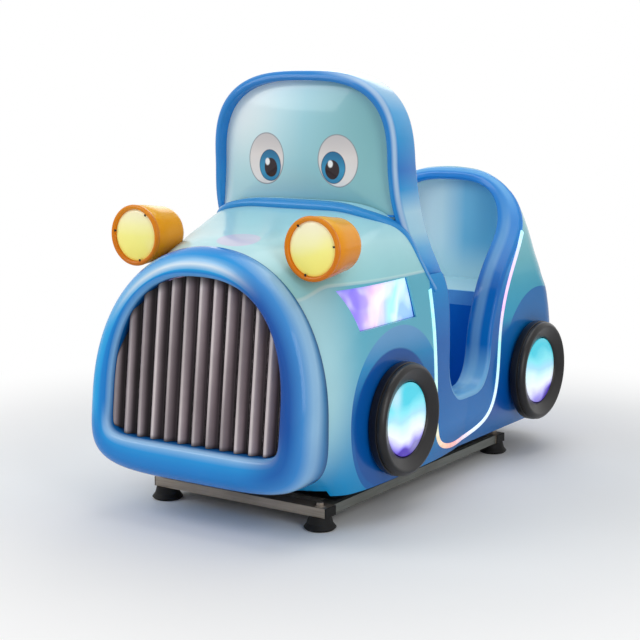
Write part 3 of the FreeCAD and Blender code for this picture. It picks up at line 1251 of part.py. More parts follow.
# ---------------------------------------------------------------- all nodes
def nodes():
    made = {}
    made["end_rails"] = group([end_rail(FRAME_FRONT_Y), end_rail(FRAME_REAR_Y - RAIL_WIDTH)])
    made["side_rails"] = group([side_rail(), mirrored(side_rail())])
    made["cross_members"] = cross_members()
    made["rail_end_caps"] = rail_end_caps()
    made["rubber_feet"] = group([rubber_foot(x, y) for x, y in foot_places()])
    made["foot_bolts"] = group([foot_bolt(x, y) for x, y in foot_places()])
    made["base_plate"] = base_plate()
    made["bearing_housings"] = group([bearing_housing(x) for x in (-BEARING_X, BEARING_X)])
    made["bearing_inserts"] = group([bearing_insert(x) for x in (-BEARING_X, BEARING_X)])
    bolts = [bearing_bolt(x, y) for x, y in bearing_bolt_places()]
    made["machine_bolts"] = group(bolts + gearbox_bolts())
    made["motor_mount_plate"] = motor_mount_plate()
    made["gearbox"] = gearbox()
    made["drive_motor"] = drive_motor()
    made["power_inlet"] = power_inlet()
    made["crank_shaft"] = crank_shaft()
    made["crank_pin"] = crank_pin()
    made["connecting_rod"] = connecting_rod()
    made["rod_tower"] = rod_tower()
    made["rod_pivot_stub"] = rod_pivot_stub()
    made["pivot_shaft"] = rod_x(SHAFT_R, -SHAFT_HALF, SHAFT_HALF, PIVOT_Y, PIVOT_Z)
    made["pivot_lugs"] = group([pivot_lug(x) for x in (-SUBFRAME_X, SUBFRAME_X)])
    made["subframe"] = group([subframe_rail(), mirrored(subframe_rail()), subframe_cross_rails()])
    made["front_body_shell"] = front_body_shell()
    made["rear_body_shell"] = rear_body_shell()
    made["cab_hoop"] = cab_hoop()
    made["dashboard"] = dashboard()
    made["windshield_panel"] = windshield_panel(made["front_body_shell"], made["dashboard"])
    made["nose_surround"] = nose_surround()
    made["grille_backing"] = grille_backing()
    made["grille_ribs"] = grille_ribs()
    lamp = headlight_shell()
    lens = headlight_lens()
    made["headlight_shells"] = group([lamp, mirrored(lamp)])
    made["headlight_lenses"] = group([lens, mirrored(lens)])
    made["lens_clips"] = lens_clips()
    frame = side_light_frame()
    pane = side_light_lens()
    made["side_light_frames"] = group([frame, mirrored(frame)])
    made["side_light_lenses"] = group([pane, mirrored(pane)])
    made["led_strips"] = led_strips()
    for name, maker in (("tyres", tyre), ("wheel_lenses", wheel_lens)):
        right = [maker(y) for y in (WHEEL_FRONT_Y, WHEEL_REAR_Y)]
        made[name] = group(right + [mirrored(shape) for shape in right])
    made["wheel_backs"] = group(wheel_back_pair(WHEEL_FRONT_Y) + wheel_back_pair(WHEEL_REAR_Y))
    made["entry_rim"] = entry_rim()
    panel = inner_side_panel()
    made["inner_side_panels"] = group([panel, mirrored(panel)])
    made["floor_pan"] = floor_pan()
    made["seat_riser"] = seat_riser()
    made["seat_bench"] = seat_bench()
    made["seat_bucket"] = seat_bucket()
    made["firewall"] = firewall()
    made["speaker"] = speaker()
    made["control_box"] = control_box()
    made["column_boss"] = column_boss()
    made["steering_shaft"] = steering_shaft()
    made["steering_wheel"] = steering_wheel()
    made["horn_button"] = horn_button()
    made["button_housing"] = button_housing()
    made["start_button"] = start_button()
    made["coin_acceptor"] = coin_acceptor()
    made["cash_box"] = cash_box()
    made["service_door"] = service_door()
    made["door_hinge_leaf"] = hinge_leaf(True)
    made["body_hinge_leaf"] = group([hinge_leaf(False), hinge_pin()])
    made["door_lock"] = door_lock()
    return made


def main():
    os.makedirs("parts", exist_ok=True)
    for name, shape in nodes().items():
        shape.exportStep("parts/" + name + ".step")
        box_size = shape.optimalBoundingBox(False, False)
        print("%-22s solids %d valid %s volume %.0f  y %.1f..%.1f z %.1f..%.1f x %.1f..%.1f" % (
            name, len(shape.Solids), shape.isValid(), shape.Volume, box_size.YMin, box_size.YMax,
            box_size.ZMin, box_size.ZMax, box_size.XMin, box_size.XMax))


main()
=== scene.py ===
"""Looks of the kiddie ride, built round its CAD frame. Metres, +Z up, the nose points to -Y."""

import json
import math
from contextlib import contextmanager

import bmesh
import bpy
import numpy as np
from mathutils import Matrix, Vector


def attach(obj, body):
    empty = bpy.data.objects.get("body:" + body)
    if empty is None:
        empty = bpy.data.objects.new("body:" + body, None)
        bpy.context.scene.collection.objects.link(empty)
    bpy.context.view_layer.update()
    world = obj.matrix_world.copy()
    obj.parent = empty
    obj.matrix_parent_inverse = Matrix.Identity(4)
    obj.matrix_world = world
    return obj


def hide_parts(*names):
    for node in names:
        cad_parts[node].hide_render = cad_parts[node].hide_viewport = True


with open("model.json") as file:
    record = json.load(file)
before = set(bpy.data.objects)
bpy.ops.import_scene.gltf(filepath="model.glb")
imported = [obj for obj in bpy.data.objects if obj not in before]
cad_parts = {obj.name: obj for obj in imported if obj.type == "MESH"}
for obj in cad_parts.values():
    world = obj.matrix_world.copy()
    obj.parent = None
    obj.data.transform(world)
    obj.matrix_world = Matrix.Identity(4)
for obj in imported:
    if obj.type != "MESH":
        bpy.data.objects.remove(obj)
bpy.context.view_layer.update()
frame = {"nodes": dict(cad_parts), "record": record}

# ---- shapes shared with the CAD model
# Body sections along the car: y, half width, bottom, top, widest height, top power, bottom power.
BODY_STATIONS = (
    (-0.645, 0.352, 0.140, 0.738, 0.330, 2.15, 4.5),
    (-0.560, 0.351, 0.090, 0.762, 0.380, 2.5, 4.5),
    (-0.473, 0.350, 0.000, 0.775, 0.430, 3.0, 5.0),
    (-0.373, 0.350, -0.070, 0.795, 0.460, 3.8, 5.0),
    (-0.273, 0.350, -0.100, 0.826, 0.480, 4.3, 5.0),
    (-0.225, 0.350, -0.100, 0.846, 0.490, 4.3, 5.0),
    (-0.100, 0.350, -0.080, 0.860, 0.490, 4.0, 5.0),
    (0.135, 0.345, 0.020, 0.893, 0.450, 3.0, 5.0),
)
# Rear of the body by height: z, rear end y, corner radius.
REAR_LEVELS = (
    (0.060, 0.748, 0.100),
    (0.150, 0.763, 0.100),
    (0.300, 0.763, 0.100),
    (0.370, 0.763, 0.103),
    (0.500, 0.738, 0.112),
    (0.570, 0.700, 0.120),
    (0.650, 0.684, 0.150),
    (0.740, 0.682, 0.168),
    (0.820, 0.690, 0.170),
    (0.860, 0.683, 0.150),
    (0.880, 0.668, 0.110),
    (0.893, 0.645, 0.060),
)
NOSE_SEAM_Y = -0.645
JOIN_Y = 0.135
REAR_Y = 0.763
SKIN = 0.005
FOOT_ACCESS = (0.290, -0.575, -0.480, 0.110)
SKIRT_Z = 0.092
REAR_HALF = 0.345
SHOULDER_Z = 0.450
DOME_Z = 0.893
DOME_POWER = 3.0
SKIRT_POWER = 5.0
REAR_TUCK_Z = 0.020
# Edge of the cockpit seen from the side (y, z): back of the cab hoop, the sill, the seat arch.
COCKPIT_EDGE = (
    (-0.150, 1.260), (-0.140, 1.065), (-0.128, 0.940), (-0.095, 0.770), (-0.052, 0.680), (0.002, 0.590),
    (0.017, 0.500), (0.019, 0.400), (0.025, 0.322), (0.062, 0.272), (0.140, 0.262), (0.212, 0.272),
    (0.252, 0.322), (0.266, 0.400), (0.288, 0.475), (0.335, 0.565), (0.410, 0.642), (0.500, 0.712),
    (0.570, 0.790), (0.618, 0.868), (0.645, 0.960),
)
HOOP_FRONT_EDGE = (
    (-0.240, 1.260), (-0.240, 0.920), (-0.233, 0.858), (-0.214, 0.795), (-0.185, 0.735),
    (-0.142, 0.668), (-0.095, 0.612), (-0.050, 0.566),
)
LED_LINE = (
    (-0.112, 0.600), (-0.086, 0.481), (-0.071, 0.334), (-0.062, 0.220), (-0.040, 0.152), (0.035, 0.118),
    (0.180, 0.128), (0.278, 0.168), (0.318, 0.266), (0.334, 0.430), (0.372, 0.540), (0.440, 0.630),
    (0.515, 0.705),
)
SIDE_WINDOW = ((-0.522, 0.640), (-0.232, 0.648), (-0.186, 0.532), (-0.470, 0.530))
HOOP_TOP_Z = 1.203
HOOP_HALF = 0.312
HOOP_CENTRE_Z = 0.950
HOOP_POWER = 2.85
HOOP_SPREAD = 0.038
HOOP_SPREAD_POWER = 1.4
HOOP_SPREAD_Z = 0.580
HOOP_CUT_Z = 0.640
HOOP_CUT_BACK_Y = 0.115
HOOP_SINK_Z = 0.670
HOOP_END_Z = 0.500
HOOP_SINK = 0.016
HOOP_BAND = 0.028
WINDSHIELD_Y = -0.222
WINDSHIELD_BULGE = 0.028
WINDSHIELD_FOOT_Z = 0.785
SCUTTLE_Y = -0.262
NOSE_FRONT_Y = -0.7755
NOSE_OVAL = (0.366, 0.330, 0.748, 0.127, 2.15, 4.5)
NOSE_RAKE = 0.11
NOSE_ROUND_DEPTH = 0.062
NOSE_ROUND_INSET = 0.050
MOUTH_OVAL = (0.281, 0.345, 0.672, 0.231, 2.4, 8.0)
MOUTH_LIP = 0.014
MOUTH_DEPTH = 0.046
RIB_PITCH = 0.0465
RIB_COUNT = 11
RIB_DEPTH = 0.020
LAMP_X = 0.293
LAMP_Y = -0.615
LAMP_Z = 0.757
LAMP_R = 0.084
LAMP_BACK_R = 0.072
LAMP_LENGTH = 0.150
LAMP_RIM = 0.013
WHEELS_Y = (-0.283, 0.540)
WHEEL_Z = 0.265
WHEEL_R = 0.157
WHEEL_OUTER_X = 0.400
WHEEL_INNER_X = 0.351
WHEEL_HOLE_R = 0.104
WHEEL_LENS_R = 0.102
WHEEL_LENS_X = 0.3835
# Tyre profile: insets from its radius with places from its inner and outer face, then outsets from its hole.
TYRE_BACK = ((0.010, 0.0), (0.003, 0.003), (0.0, 0.010))
TYRE_TREAD = (
    (0.0, 0.0235), (0.0010, 0.0228), (0.0048, 0.0222), (0.0052, 0.0205), (0.0024, 0.0190), (0.0022, 0.0115),
    (0.0042, 0.0075), (0.0100, 0.0018), (0.0130, 0.0003), (0.0165, 0.0), (0.0205, 0.0014),
)
TYRE_HOLE = ((0.011, 0.0105), (0.006, 0.0130), (0.002, 0.0165), (0.0, 0.0205), (0.0, 0.030))
TUB_HALF = 0.260
ARCH_RIM_TOP = 0.036
DOOR_ROOM = ((-0.122, REAR_Y - 0.015, 0.198), (0.122, REAR_Y + 0.005, 0.382))

# ---- only in the scene
EDGE_ROUND = 0.012
WELD = 1e-6
AXIS_R = 0.0005
NOSE_WALL = 0.004
SHEET_WALL = 0.0015
RIM_WALL = 0.003
PANEL_WALL = 0.006
EYE_X = 0.122
EYE_Z = 0.955
EYE_LEAN = 0.10
STRIP_HALF = 0.0078
STRIP_RISE = 0.0038
STRIP_SINK = 0.001
FAR_OUT = 0.9
FAR_UP = 1.4

# ---- camera and light
CAMERA_AT = (2.3872, -3.6777, 1.1890)
CAMERA_AIM = (-0.0604, -0.0528, 0.4668)
LENS_MM = 83.36
SENSOR_MM = 36.0
# Colour and strength of the light on the object, then of what the camera sees.
WORLD_LIGHTS = (((0.97, 0.985, 1.0, 1.0), 0.42), ((1.0, 1.0, 1.0, 1.0), 1.0))
FLOOR_RINGS = (0.01, 1.0, 2.0, 4.0, 9.0)
FLOOR_FADE = (0.95, 2.0)


# ---- curves
def smooth_column(rows, column, at):
    """Monotone cubic through one column of a table whose first column rises."""
    xs = [row[0] for row in rows]
    ys = [row[column] for row in rows]
    slopes = [(ys[i + 1] - ys[i]) / (xs[i + 1] - xs[i]) for i in range(len(xs) - 1)]
    tangents = [slopes[0]]
    for before, after in zip(slopes, slopes[1:]):
        tangents.append(0.0 if before * after <= 0 else 2 * before * after / (before + after))
    tangents.append(slopes[-1])
    if at <= xs[0]:
        return ys[0]
    if at >= xs[-1]:
        return ys[-1]
    i = max(k for k in range(len(xs) - 1) if xs[k] <= at)
    width = xs[i + 1] - xs[i]
    t = (at - xs[i]) / width
    rise = (1 + 2 * t) * (1 - t) ** 2 * ys[i] + t * t * (3 - 2 * t) * ys[i + 1]
    return rise + width * t * (1 - t) * ((1 - t) * tangents[i] - t * tangents[i + 1])


def spline(points, count):
    """Natural cubic through the points, as count + 1 samples evenly spaced along its chords."""
    p = np.array(points, float)
    at = np.concatenate([[0.0], np.cumsum(np.linalg.norm(np.diff(p, axis=0), axis=1))])
    h = np.diff(at)
    slope = np.diff(p, axis=0) / h[:, None]
    n = len(p)
    system = np.eye(n)
    wanted = np.zeros_like(p)
    for i in range(1, n - 1):
        system[i, i - 1:i + 2] = h[i - 1], 2 * (h[i - 1] + h[i]), h[i]
        wanted[i] = 6 * (slope[i] - slope[i - 1])
    bend = np.linalg.solve(system, wanted)
    t = np.linspace(0.0, at[-1], count + 1)
    i = np.clip(np.searchsorted(at, t, "right") - 1, 0, n - 2)
    a = (t - at[i])[:, None]
    width = h[i][:, None]
    first = slope[i] - width * (2 * bend[i] + bend[i + 1]) / 6
    return p[i] + a * first + a ** 2 * bend[i] / 2 + a ** 3 * (bend[i + 1] - bend[i]) / (6 * width)


def unit_rows(rows):
    return rows / np.linalg.norm(rows, axis=1)[:, None]


def directions(line):
    """Unit direction of travel at each point of a line."""
    return unit_rows(np.gradient(line, axis=0))


def both_sides(half):
    """Points of the right half, led by their mirror images; the first is on the middle plane."""
    flip = np.ones(half.shape[-1])
    flip[0] = -1.0
    return np.vstack([half[:0:-1] * flip, half])


def beside(line, distance):
    """A planar line moved sideways, to the right of its direction of travel."""
    way = directions(line)
    return line + distance * np.column_stack([-way[:, 1], way[:, 0]])


def oval(count, half, centre, top, bottom, top_power, bottom_power):
    """Points (x, z) round an egg whose upper and lower halves are superellipses."""
    angle = 2 * np.pi * np.arange(count) / count
    c, s = np.cos(angle), np.sin(angle)
    power = np.where(s > 0, top_power, bottom_power)
    reach = np.where(s > 0, top - centre, centre - bottom)
    radius = (np.abs(c) ** power + np.abs(s) ** power) ** (-1 / power)
    return np.column_stack([half * radius * c, centre + reach * radius * s])


def body_section(y):
    """Half width, bottom, top, widest height, top power and bottom power of the front body."""
    return [smooth_column(BODY_STATIONS, column, y) for column in range(1, 7)]


def front_half(y, z):
    """Half width of the front body at a point of its side."""
    half, bottom, top, centre, high, low = body_section(y)
    if z > centre:
        share, power = (z - centre) / (top - centre), high
    else:
        share, power = (centre - z) / (centre - bottom), low
    return half * (1 - min(share, 0.9999) ** power) ** (1 / power)


def rear_level(z, inset=0.0):
    """Half width, rear end and corner radius of the rear body at a height."""
    if z > SHOULDER_Z:
        share, power = (z - SHOULDER_Z) / (DOME_Z - inset - SHOULDER_Z), DOME_POWER
    else:
        share, power = (SHOULDER_Z - z) / (SHOULDER_Z - REAR_TUCK_Z - inset), SKIRT_POWER
    half = (REAR_HALF - inset) * (1 - min(share, 0.99999) ** power) ** (1 / power)
    corner = min(max(smooth_column(REAR_LEVELS, 2, z) - inset, 0.020), 0.95 * half)
    return half, smooth_column(REAR_LEVELS, 1, z) - inset, corner


def side_half(y, z):
    """Half width of the whole body at a point of its side."""
    if y < JOIN_Y:
        return front_half(y, z)
    half, end, corner = rear_level(z)
    over = y - (end - corner)
    return half if over <= 0 else half - corner + math.sqrt(max(corner ** 2 - over ** 2, 0.0))


def on_side(y, z, lift=0.0):
    """Point on the right side of the body, lifted off the skin along its normal."""
    step = 0.002
    x = side_half(y, z)
    slope_y = (side_half(y + step, z) - side_half(y - step, z)) / (2 * step)
    slope_z = (side_half(y, z + step) - side_half(y, z - step)) / (2 * step)
    normal = Vector((1.0, -slope_y, -slope_z)).normalized()
    return np.array((x, y, z)) + lift * np.array(normal)


EDGE = spline(COCKPIT_EDGE, 240)
HOOP_EDGE = spline(HOOP_FRONT_EDGE, 120)
SILL_INDEX = int(np.argmin(EDGE[:, 1]))


# ---- meshes
def make_object(name, points, faces):
    data = bpy.data.meshes.new(name)
    data.from_pydata([tuple(p) for p in points], [], faces)
    obj = bpy.data.objects.new(name, data)
    bpy.context.scene.collection.objects.link(obj)
    return obj


@contextmanager
def editing(obj):
    bm = bmesh.new()
    bm.from_mesh(obj.data)
    yield bm
    bm.to_mesh(obj.data)
    bm.free()


def outward(obj):
    """Weld doubled points and turn every face of a closed mesh outwards."""
    with editing(obj) as bm:
        bmesh.ops.remove_doubles(bm, verts=bm.verts, dist=WELD)
        bmesh.ops.recalc_face_normals(bm, faces=bm.faces)
    return obj


def quads(n, m, ring, loop=False):
    """Faces between n rows of m points. ring closes each row, loop joins the last row to the first."""
    faces = []
    for i in range(n if loop else n - 1):
        j = (i + 1) % n
        for k in range(m if ring else m - 1):
            after = (k + 1) % m
            faces.append((i * m + k, i * m + after, j * m + after, j * m + k))
    return faces


def grid(name, rows, ring=False, loop=False, caps=False):
    """Surface over rows of points; caps close its two end rows."""
    rows = np.asarray(rows, float)
    n, m = rows.shape[:2]
    faces = quads(n, m, ring, loop)
    if caps:
        faces.append(tuple(reversed(range(m))))
        faces.append(tuple(range((n - 1) * m, n * m)))
    return outward(make_object(name, rows.reshape(-1, 3), faces))


def shade(obj, angle=35.0):
    obj.data.polygons.foreach_set("use_smooth", [True] * len(obj.data.polygons))
    obj.data.set_sharp_from_angle(angle=math.radians(angle))
    return obj


def apply_modifiers(obj):
    bpy.context.view_layer.update()
    graph = bpy.context.evaluated_depsgraph_get()
    data = bpy.data.meshes.new_from_object(obj.evaluated_get(graph))
    obj.modifiers.clear()
    obj.data = data
    return obj


def carve(obj, *cutters):
    """Take closed cutters out of a closed mesh."""
    for cutter in cutters:
        modifier = obj.modifiers.new("cut", "BOOLEAN")
        modifier.operation = "DIFFERENCE"
        modifier.solver = "EXACT"
        modifier.object = cutter
    apply_modifiers(obj)
    for cutter in cutters:
        bpy.data.objects.remove(cutter)
    return obj


def thicken(obj, thickness):
    modifier = obj.modifiers.new("wall", "SOLIDIFY")
    modifier.thickness = thickness
    modifier.offset = -1.0
    modifier.use_rim = True
    return apply_modifiers(obj)


def prism(name, outline, x0=-FAR_OUT, x1=FAR_OUT):
    """Closed prism across the car over a (y, z) outline."""
    rows = [[(x, y, z) for y, z in outline] for x in (x0, x1)]
    return grid(name, rows, ring=True, caps=True)


def block(name, low, high):
    outline = ((low[1], low[2]), (high[1], low[2]), (high[1], high[2]), (low[1], high[2]))
    return prism(name, outline, low[0], high[0])


def lathe(name, profile, centre, axis, segments=96):
    """Revolve closed (radius, along) pairs about the x (0) or y (1) axis through the centre."""
    turn = 2 * np.pi * np.arange(segments) / segments
    rows = []
    for radius, along in profile:
        ring = np.zeros((segments, 3))
        ring[:, axis] = along
        ring[:, 1 - axis] = radius * np.cos(turn)
        ring[:, 2] = radius * np.sin(turn)
        rows.append(ring + np.array(centre))
    return grid(name, rows, ring=True, loop=True)


def mirrored(obj, name):
    """A copy of the mesh on the other side of the car, in the same object."""
    with editing(obj) as bm:
        extra = bmesh.ops.duplicate(bm, geom=bm.verts[:] + bm.edges[:] + bm.faces[:])["geom"]
        moved = [v for v in extra if isinstance(v, bmesh.types.BMVert)]
        bmesh.ops.scale(bm, verts=moved, vec=(-1, 1, 1))
        bmesh.ops.reverse_faces(bm, faces=[f for f in extra if isinstance(f, bmesh.types.BMFace)])
    obj.name = name
    return obj


def arc(centre, radius, start, end, steps):
    """Points of a circular arc in a plane, angles in degrees."""
    turn = np.radians(np.linspace(start, end, steps + 1))
    return [(centre[0] + radius * math.cos(t), centre[1] + radius * math.sin(t)) for t in turn]


def point_values(obj, name, values):
    attribute = obj.data.attributes.new(name, "FLOAT", "POINT")
    attribute.data.foreach_set("value", np.asarray(values, np.float32))


def coordinates(obj):
    return np.array([v.co for v in obj.data.vertices], float).reshape(-1, 3)


# ---- shader helpers
def linear(code):
    """Linear RGBA of an sRGB hex colour."""
    parts = [int(code[k:k + 2], 16) / 255 for k in (1, 3, 5)]
    return tuple(p / 12.92 if p <= 0.04045 else ((p + 0.055) / 1.055) ** 2.4 for p in parts) + (1.0,)


FINISHES = {}


class Paint:
    """Small builder for one Principled material, kept in FINISHES under its slot's name."""

    def __init__(self, name, rough=0.4, metal=0.0, coat=0.0, specular=0.22):
        self.material = bpy.data.materials.new(name)
        FINISHES[name] = self.material
        self.material.use_nodes = True
        self.tree = self.material.node_tree
        self.shader = self.tree.nodes["Principled BSDF"]
        looks = {"Roughness": rough, "Metallic": metal, "Coat Weight": coat, "Coat Roughness": 0.05,
                 "Specular IOR Level": specular}
        for socket, value in looks.items():
            self.shader.inputs[socket].default_value = value
        coordinate = self.add("ShaderNodeTexCoord")
        self.spot = coordinate.outputs["Object"]
        split = self.add("ShaderNodeSeparateXYZ")
        self.tree.links.new(self.spot, split.inputs[0])
        self.x, self.y, self.z = split.outputs
        facing = self.add("ShaderNodeSeparateXYZ")
        self.tree.links.new(coordinate.outputs["Normal"], facing.inputs[0])
        self.normal_y = facing.outputs[1]

    def add(self, kind, **settings):
        made = self.tree.nodes.new(kind)
        for key, value in settings.items():
            setattr(made, key, value)
        return made

    def put(self, value, socket):
        if isinstance(value, bpy.types.NodeSocket):
            self.tree.links.new(value, socket)
        elif isinstance(value, str):
            socket.default_value = linear(value)
        else:
            socket.default_value = value

    def math(self, operation, a, b=0.0, clamp=False):
        made = self.add("ShaderNodeMath", operation=operation, use_clamp=clamp)
        self.put(a, made.inputs[0])
        self.put(b, made.inputs[1])
        return made.outputs[0]

    def plus(self, a, b, clamp=False):
        return self.math("ADD", a, b, clamp)

    def times(self, a, b):
        return self.math("MULTIPLY", a, b)

    def value(self, name):
        return self.add("ShaderNodeAttribute", attribute_name=name).outputs["Fac"]

    def step(self, value, low, high):
        """0 below low and 1 above high, smooth between; low may be above high."""
        made = self.add("ShaderNodeMapRange", interpolation_type="SMOOTHSTEP")
        self.put(value, made.inputs["Value"])
        first, last = (0.0, 1.0) if low <= high else (1.0, 0.0)
        low, high = min(low, high), max(low, high)
        for socket, limit in zip(("From Min", "From Max", "To Min", "To Max"), (low, high, first, last)):
            made.inputs[socket].default_value = limit
        return made.outputs[0]

    def both(self, *factors):
        total = factors[0]
        for factor in factors[1:]:
            total = self.times(total, factor)
        return total

    def where(self, *steps):
        """Product of steps, each given as its value, low and high."""
        return self.both(*[self.step(*step) for step in steps])

    def drift(self, noise, reach):
        """Noise moved to wander about zero."""
        return self.times(self.math("SUBTRACT", noise, 0.5), reach)

    def mix(self, factor, a, b):
        made = self.add("ShaderNodeMix", data_type="RGBA")
        self.put(factor, made.inputs[0])
        self.put(a, made.inputs[6])
        self.put(b, made.inputs[7])
        return made.outputs[2]

    def tint(self, colour, factor, over, share):
        """The colour with another laid over it by a share of the factor."""
        return self.mix(self.times(factor, share), colour, over)

    def lay(self, colour, over, *steps):
        """The colour with another laid over it where the product of the steps is 1."""
        return self.mix(self.where(*steps), colour, over)

    def fade(self, value, low, high, stops):
        return self.ramp(self.step(value, low, high), stops)

    def ramp(self, factor, stops):
        """Colours over a factor; the stops read place, colour, place, colour and so on."""
        made = self.add("ShaderNodeValToRGB")
        self.put(factor, made.inputs[0])
        places, colours = stops.split()[::2], stops.split()[1::2]
        elements = made.color_ramp.elements
        while len(elements) < len(places):
            elements.new(1.0)
        for element, place, colour in zip(elements, places, colours):
            element.position = float(place)
            element.color = linear(colour)
        return made.outputs[0]

    def noise(self, scale, detail=2.0, stretch=(1, 1, 1)):
        place = self.add("ShaderNodeMapping")
        self.put(self.spot, place.inputs[0])
        place.inputs["Scale"].default_value = stretch
        made = self.add("ShaderNodeTexNoise")
        self.put(place.outputs[0], made.inputs["Vector"])
        made.inputs["Scale"].default_value = scale
        made.inputs["Detail"].default_value = detail
        return made.outputs["Fac"]

    def disc(self, first, second, centre, radii, soft, turn=0.0):
        """1 inside an ellipse on two coordinates, 0 outside, soft as a share of its radius."""
        a = self.math("SUBTRACT", first, centre[0])
        b = self.math("SUBTRACT", second, centre[1])
        c, s = math.cos(turn), math.sin(turn)
        u = self.plus(self.times(a, c / radii[0]), self.times(b, s / radii[0]))
        v = self.math("SUBTRACT", self.times(b, c / radii[1]), self.times(a, s / radii[1]))
        far = self.math("SQRT", self.plus(self.times(u, u), self.times(v, v)))
        return self.step(far, 1.0 + soft, 1.0 - soft)

    def bump(self, height, distance, strength=0.5):
        made = self.add("ShaderNodeBump")
        made.inputs["Strength"].default_value = strength
        made.inputs["Distance"].default_value = distance
        self.put(height, made.inputs["Height"])
        self.put(made.outputs[0], self.shader.inputs["Normal"])

    def finish(self, colour, glow=None, glow_strength=0.0):
        self.put(colour, self.shader.inputs["Base Color"])
        if glow is not None:
            self.put(glow, self.shader.inputs["Emission Color"])
            self.shader.inputs["Emission Strength"].default_value = glow_strength

    def mottle(self, colour, amount=0.06, scale=18.0):
        """The colour with faint lighter and darker clouds, as a sprayed coat has."""
        cloud = self.noise(scale)
        scaled = self.add("ShaderNodeHueSaturation")
        self.put(colour, scaled.inputs["Color"])
        low, high = 1.0 - amount, 1.0 + amount
        gain = self.plus(low, self.times(cloud, high - low))
        self.put(gain, scaled.inputs["Value"])
        return scaled.outputs[0]

    def sprayed(self, colour, amount=0.06, scale=18.0, peel=(140.0, 0.0004, 0.10)):
        """Finish with clouds and the faint orange peel of a sprayed coat: its scale, depth, strength."""
        self.bump(self.noise(peel[0]), *peel[1:])
        self.finish(self.mottle(colour, amount, scale))


# ---- materials
def gloss_paint(name, colour):
    paint = Paint(name, rough=0.24, coat=0.18)
    paint.sprayed(colour, peel=(160.0, 0.0004, 0.12))


def body_paint():
    """Pale teal above the crease, aqua below, blue round the door and over the wheels."""
    paint = Paint("body_blue", rough=0.20, coat=0.18)
    x, y, z = paint.x, paint.y, paint.z
    low = paint.fade(z, 0.10, 0.66, "0 #1698D6 0.3 #62B4DE 0.65 #68C0DA 1 #66BFD6")
    # Pale aqua-white streak low on the front flank: a painted highlight.
    low = paint.lay(low, "#B4E6F0", (y, -0.44, -0.63), (z, 0.10, 0.40))
    high = paint.fade(z, 0.64, 0.86, "0 #A0DEE4 0.5 #BCEEF4 1 #9CDCEC")
    cloud = paint.step(paint.noise(2.4, 1.0), 0.45, 0.75)
    high = paint.tint(high, cloud, "#D4F1F4", 0.4)
    crease = paint.plus(z, paint.times(paint.step(y, -0.53, -0.64), 0.028))
    colour = paint.mix(paint.step(crease, 0.653, 0.656), low, high)
    line = paint.where((crease, 0.648, 0.652), (crease, 0.660, 0.655))
    colour = paint.tint(colour, line, "#DDF6F4", 0.5)
    rear_teal = paint.fade(z, 0.42, 0.85, "0 #16ABD6 0.45 #62BFCE 0.8 #8CD2DC 1 #9CDAE4")
    colour = paint.lay(colour, rear_teal, (y, 0.20, 0.24))
    shine = paint.fade(z, 0.30, 0.53, "0 #0969B8 0.6 #1995D4 1 #74AEE0")
    colour = paint.mix(paint.disc(y, z, (-0.280, 0.285), (0.236, 0.236), 0.006), colour, shine)
    inner = paint.disc(y, z, (-0.300, 0.270), (0.200, 0.190), 0.02)
    colour = paint.mix(inner, colour, "#035AAE")
    rear_patch = paint.disc(y, z, (0.590, 0.290), (0.236, 0.236), 0.006)
    below = paint.where((z, 0.46, 0.41), (y, 0.20, 0.23), (y, 0.52, 0.44))
    rear_patch = paint.math("MAXIMUM", rear_patch, below)
    colour = paint.mix(rear_patch, colour, paint.fade(z, 0.20, 0.50, "0 #0457B0 1 #1079C4"))
    ribbon_colour = paint.fade(z, 0.10, 0.70, "0 #0F7FD0 0.3 #0A6DC0 0.6 #096BC0 0.8 #1081D2 1 #199DE4")
    ribbon_colour = paint.lay(ribbon_colour, "#1097F2", (y, 0.30, 0.52), (z, 0.50, 0.72))
    colour = paint.mix(paint.step(paint.value("ribbon"), 0.45, 0.55), colour, ribbon_colour)
    colour = paint.lay(colour, "#0A6FBC", (z, 0.19, 0.11), (y, -0.5, 0.1))
    roundel = paint.disc(x, y, (0.022, -0.560), (0.062, 0.050), 0.08)
    colour = paint.mix(paint.both(roundel, paint.step(z, 0.70, 0.72)), colour, "#DADBF0")
    # Dark line along the nose seam: painted shade in the gap between the surround and the body.
    seam = paint.step(y, NOSE_SEAM_Y + 0.008, NOSE_SEAM_Y + 0.003)
    colour = paint.tint(colour, seam, "#1C5C8C", 0.6)
    paint.sprayed(colour, 0.06, 6.0)


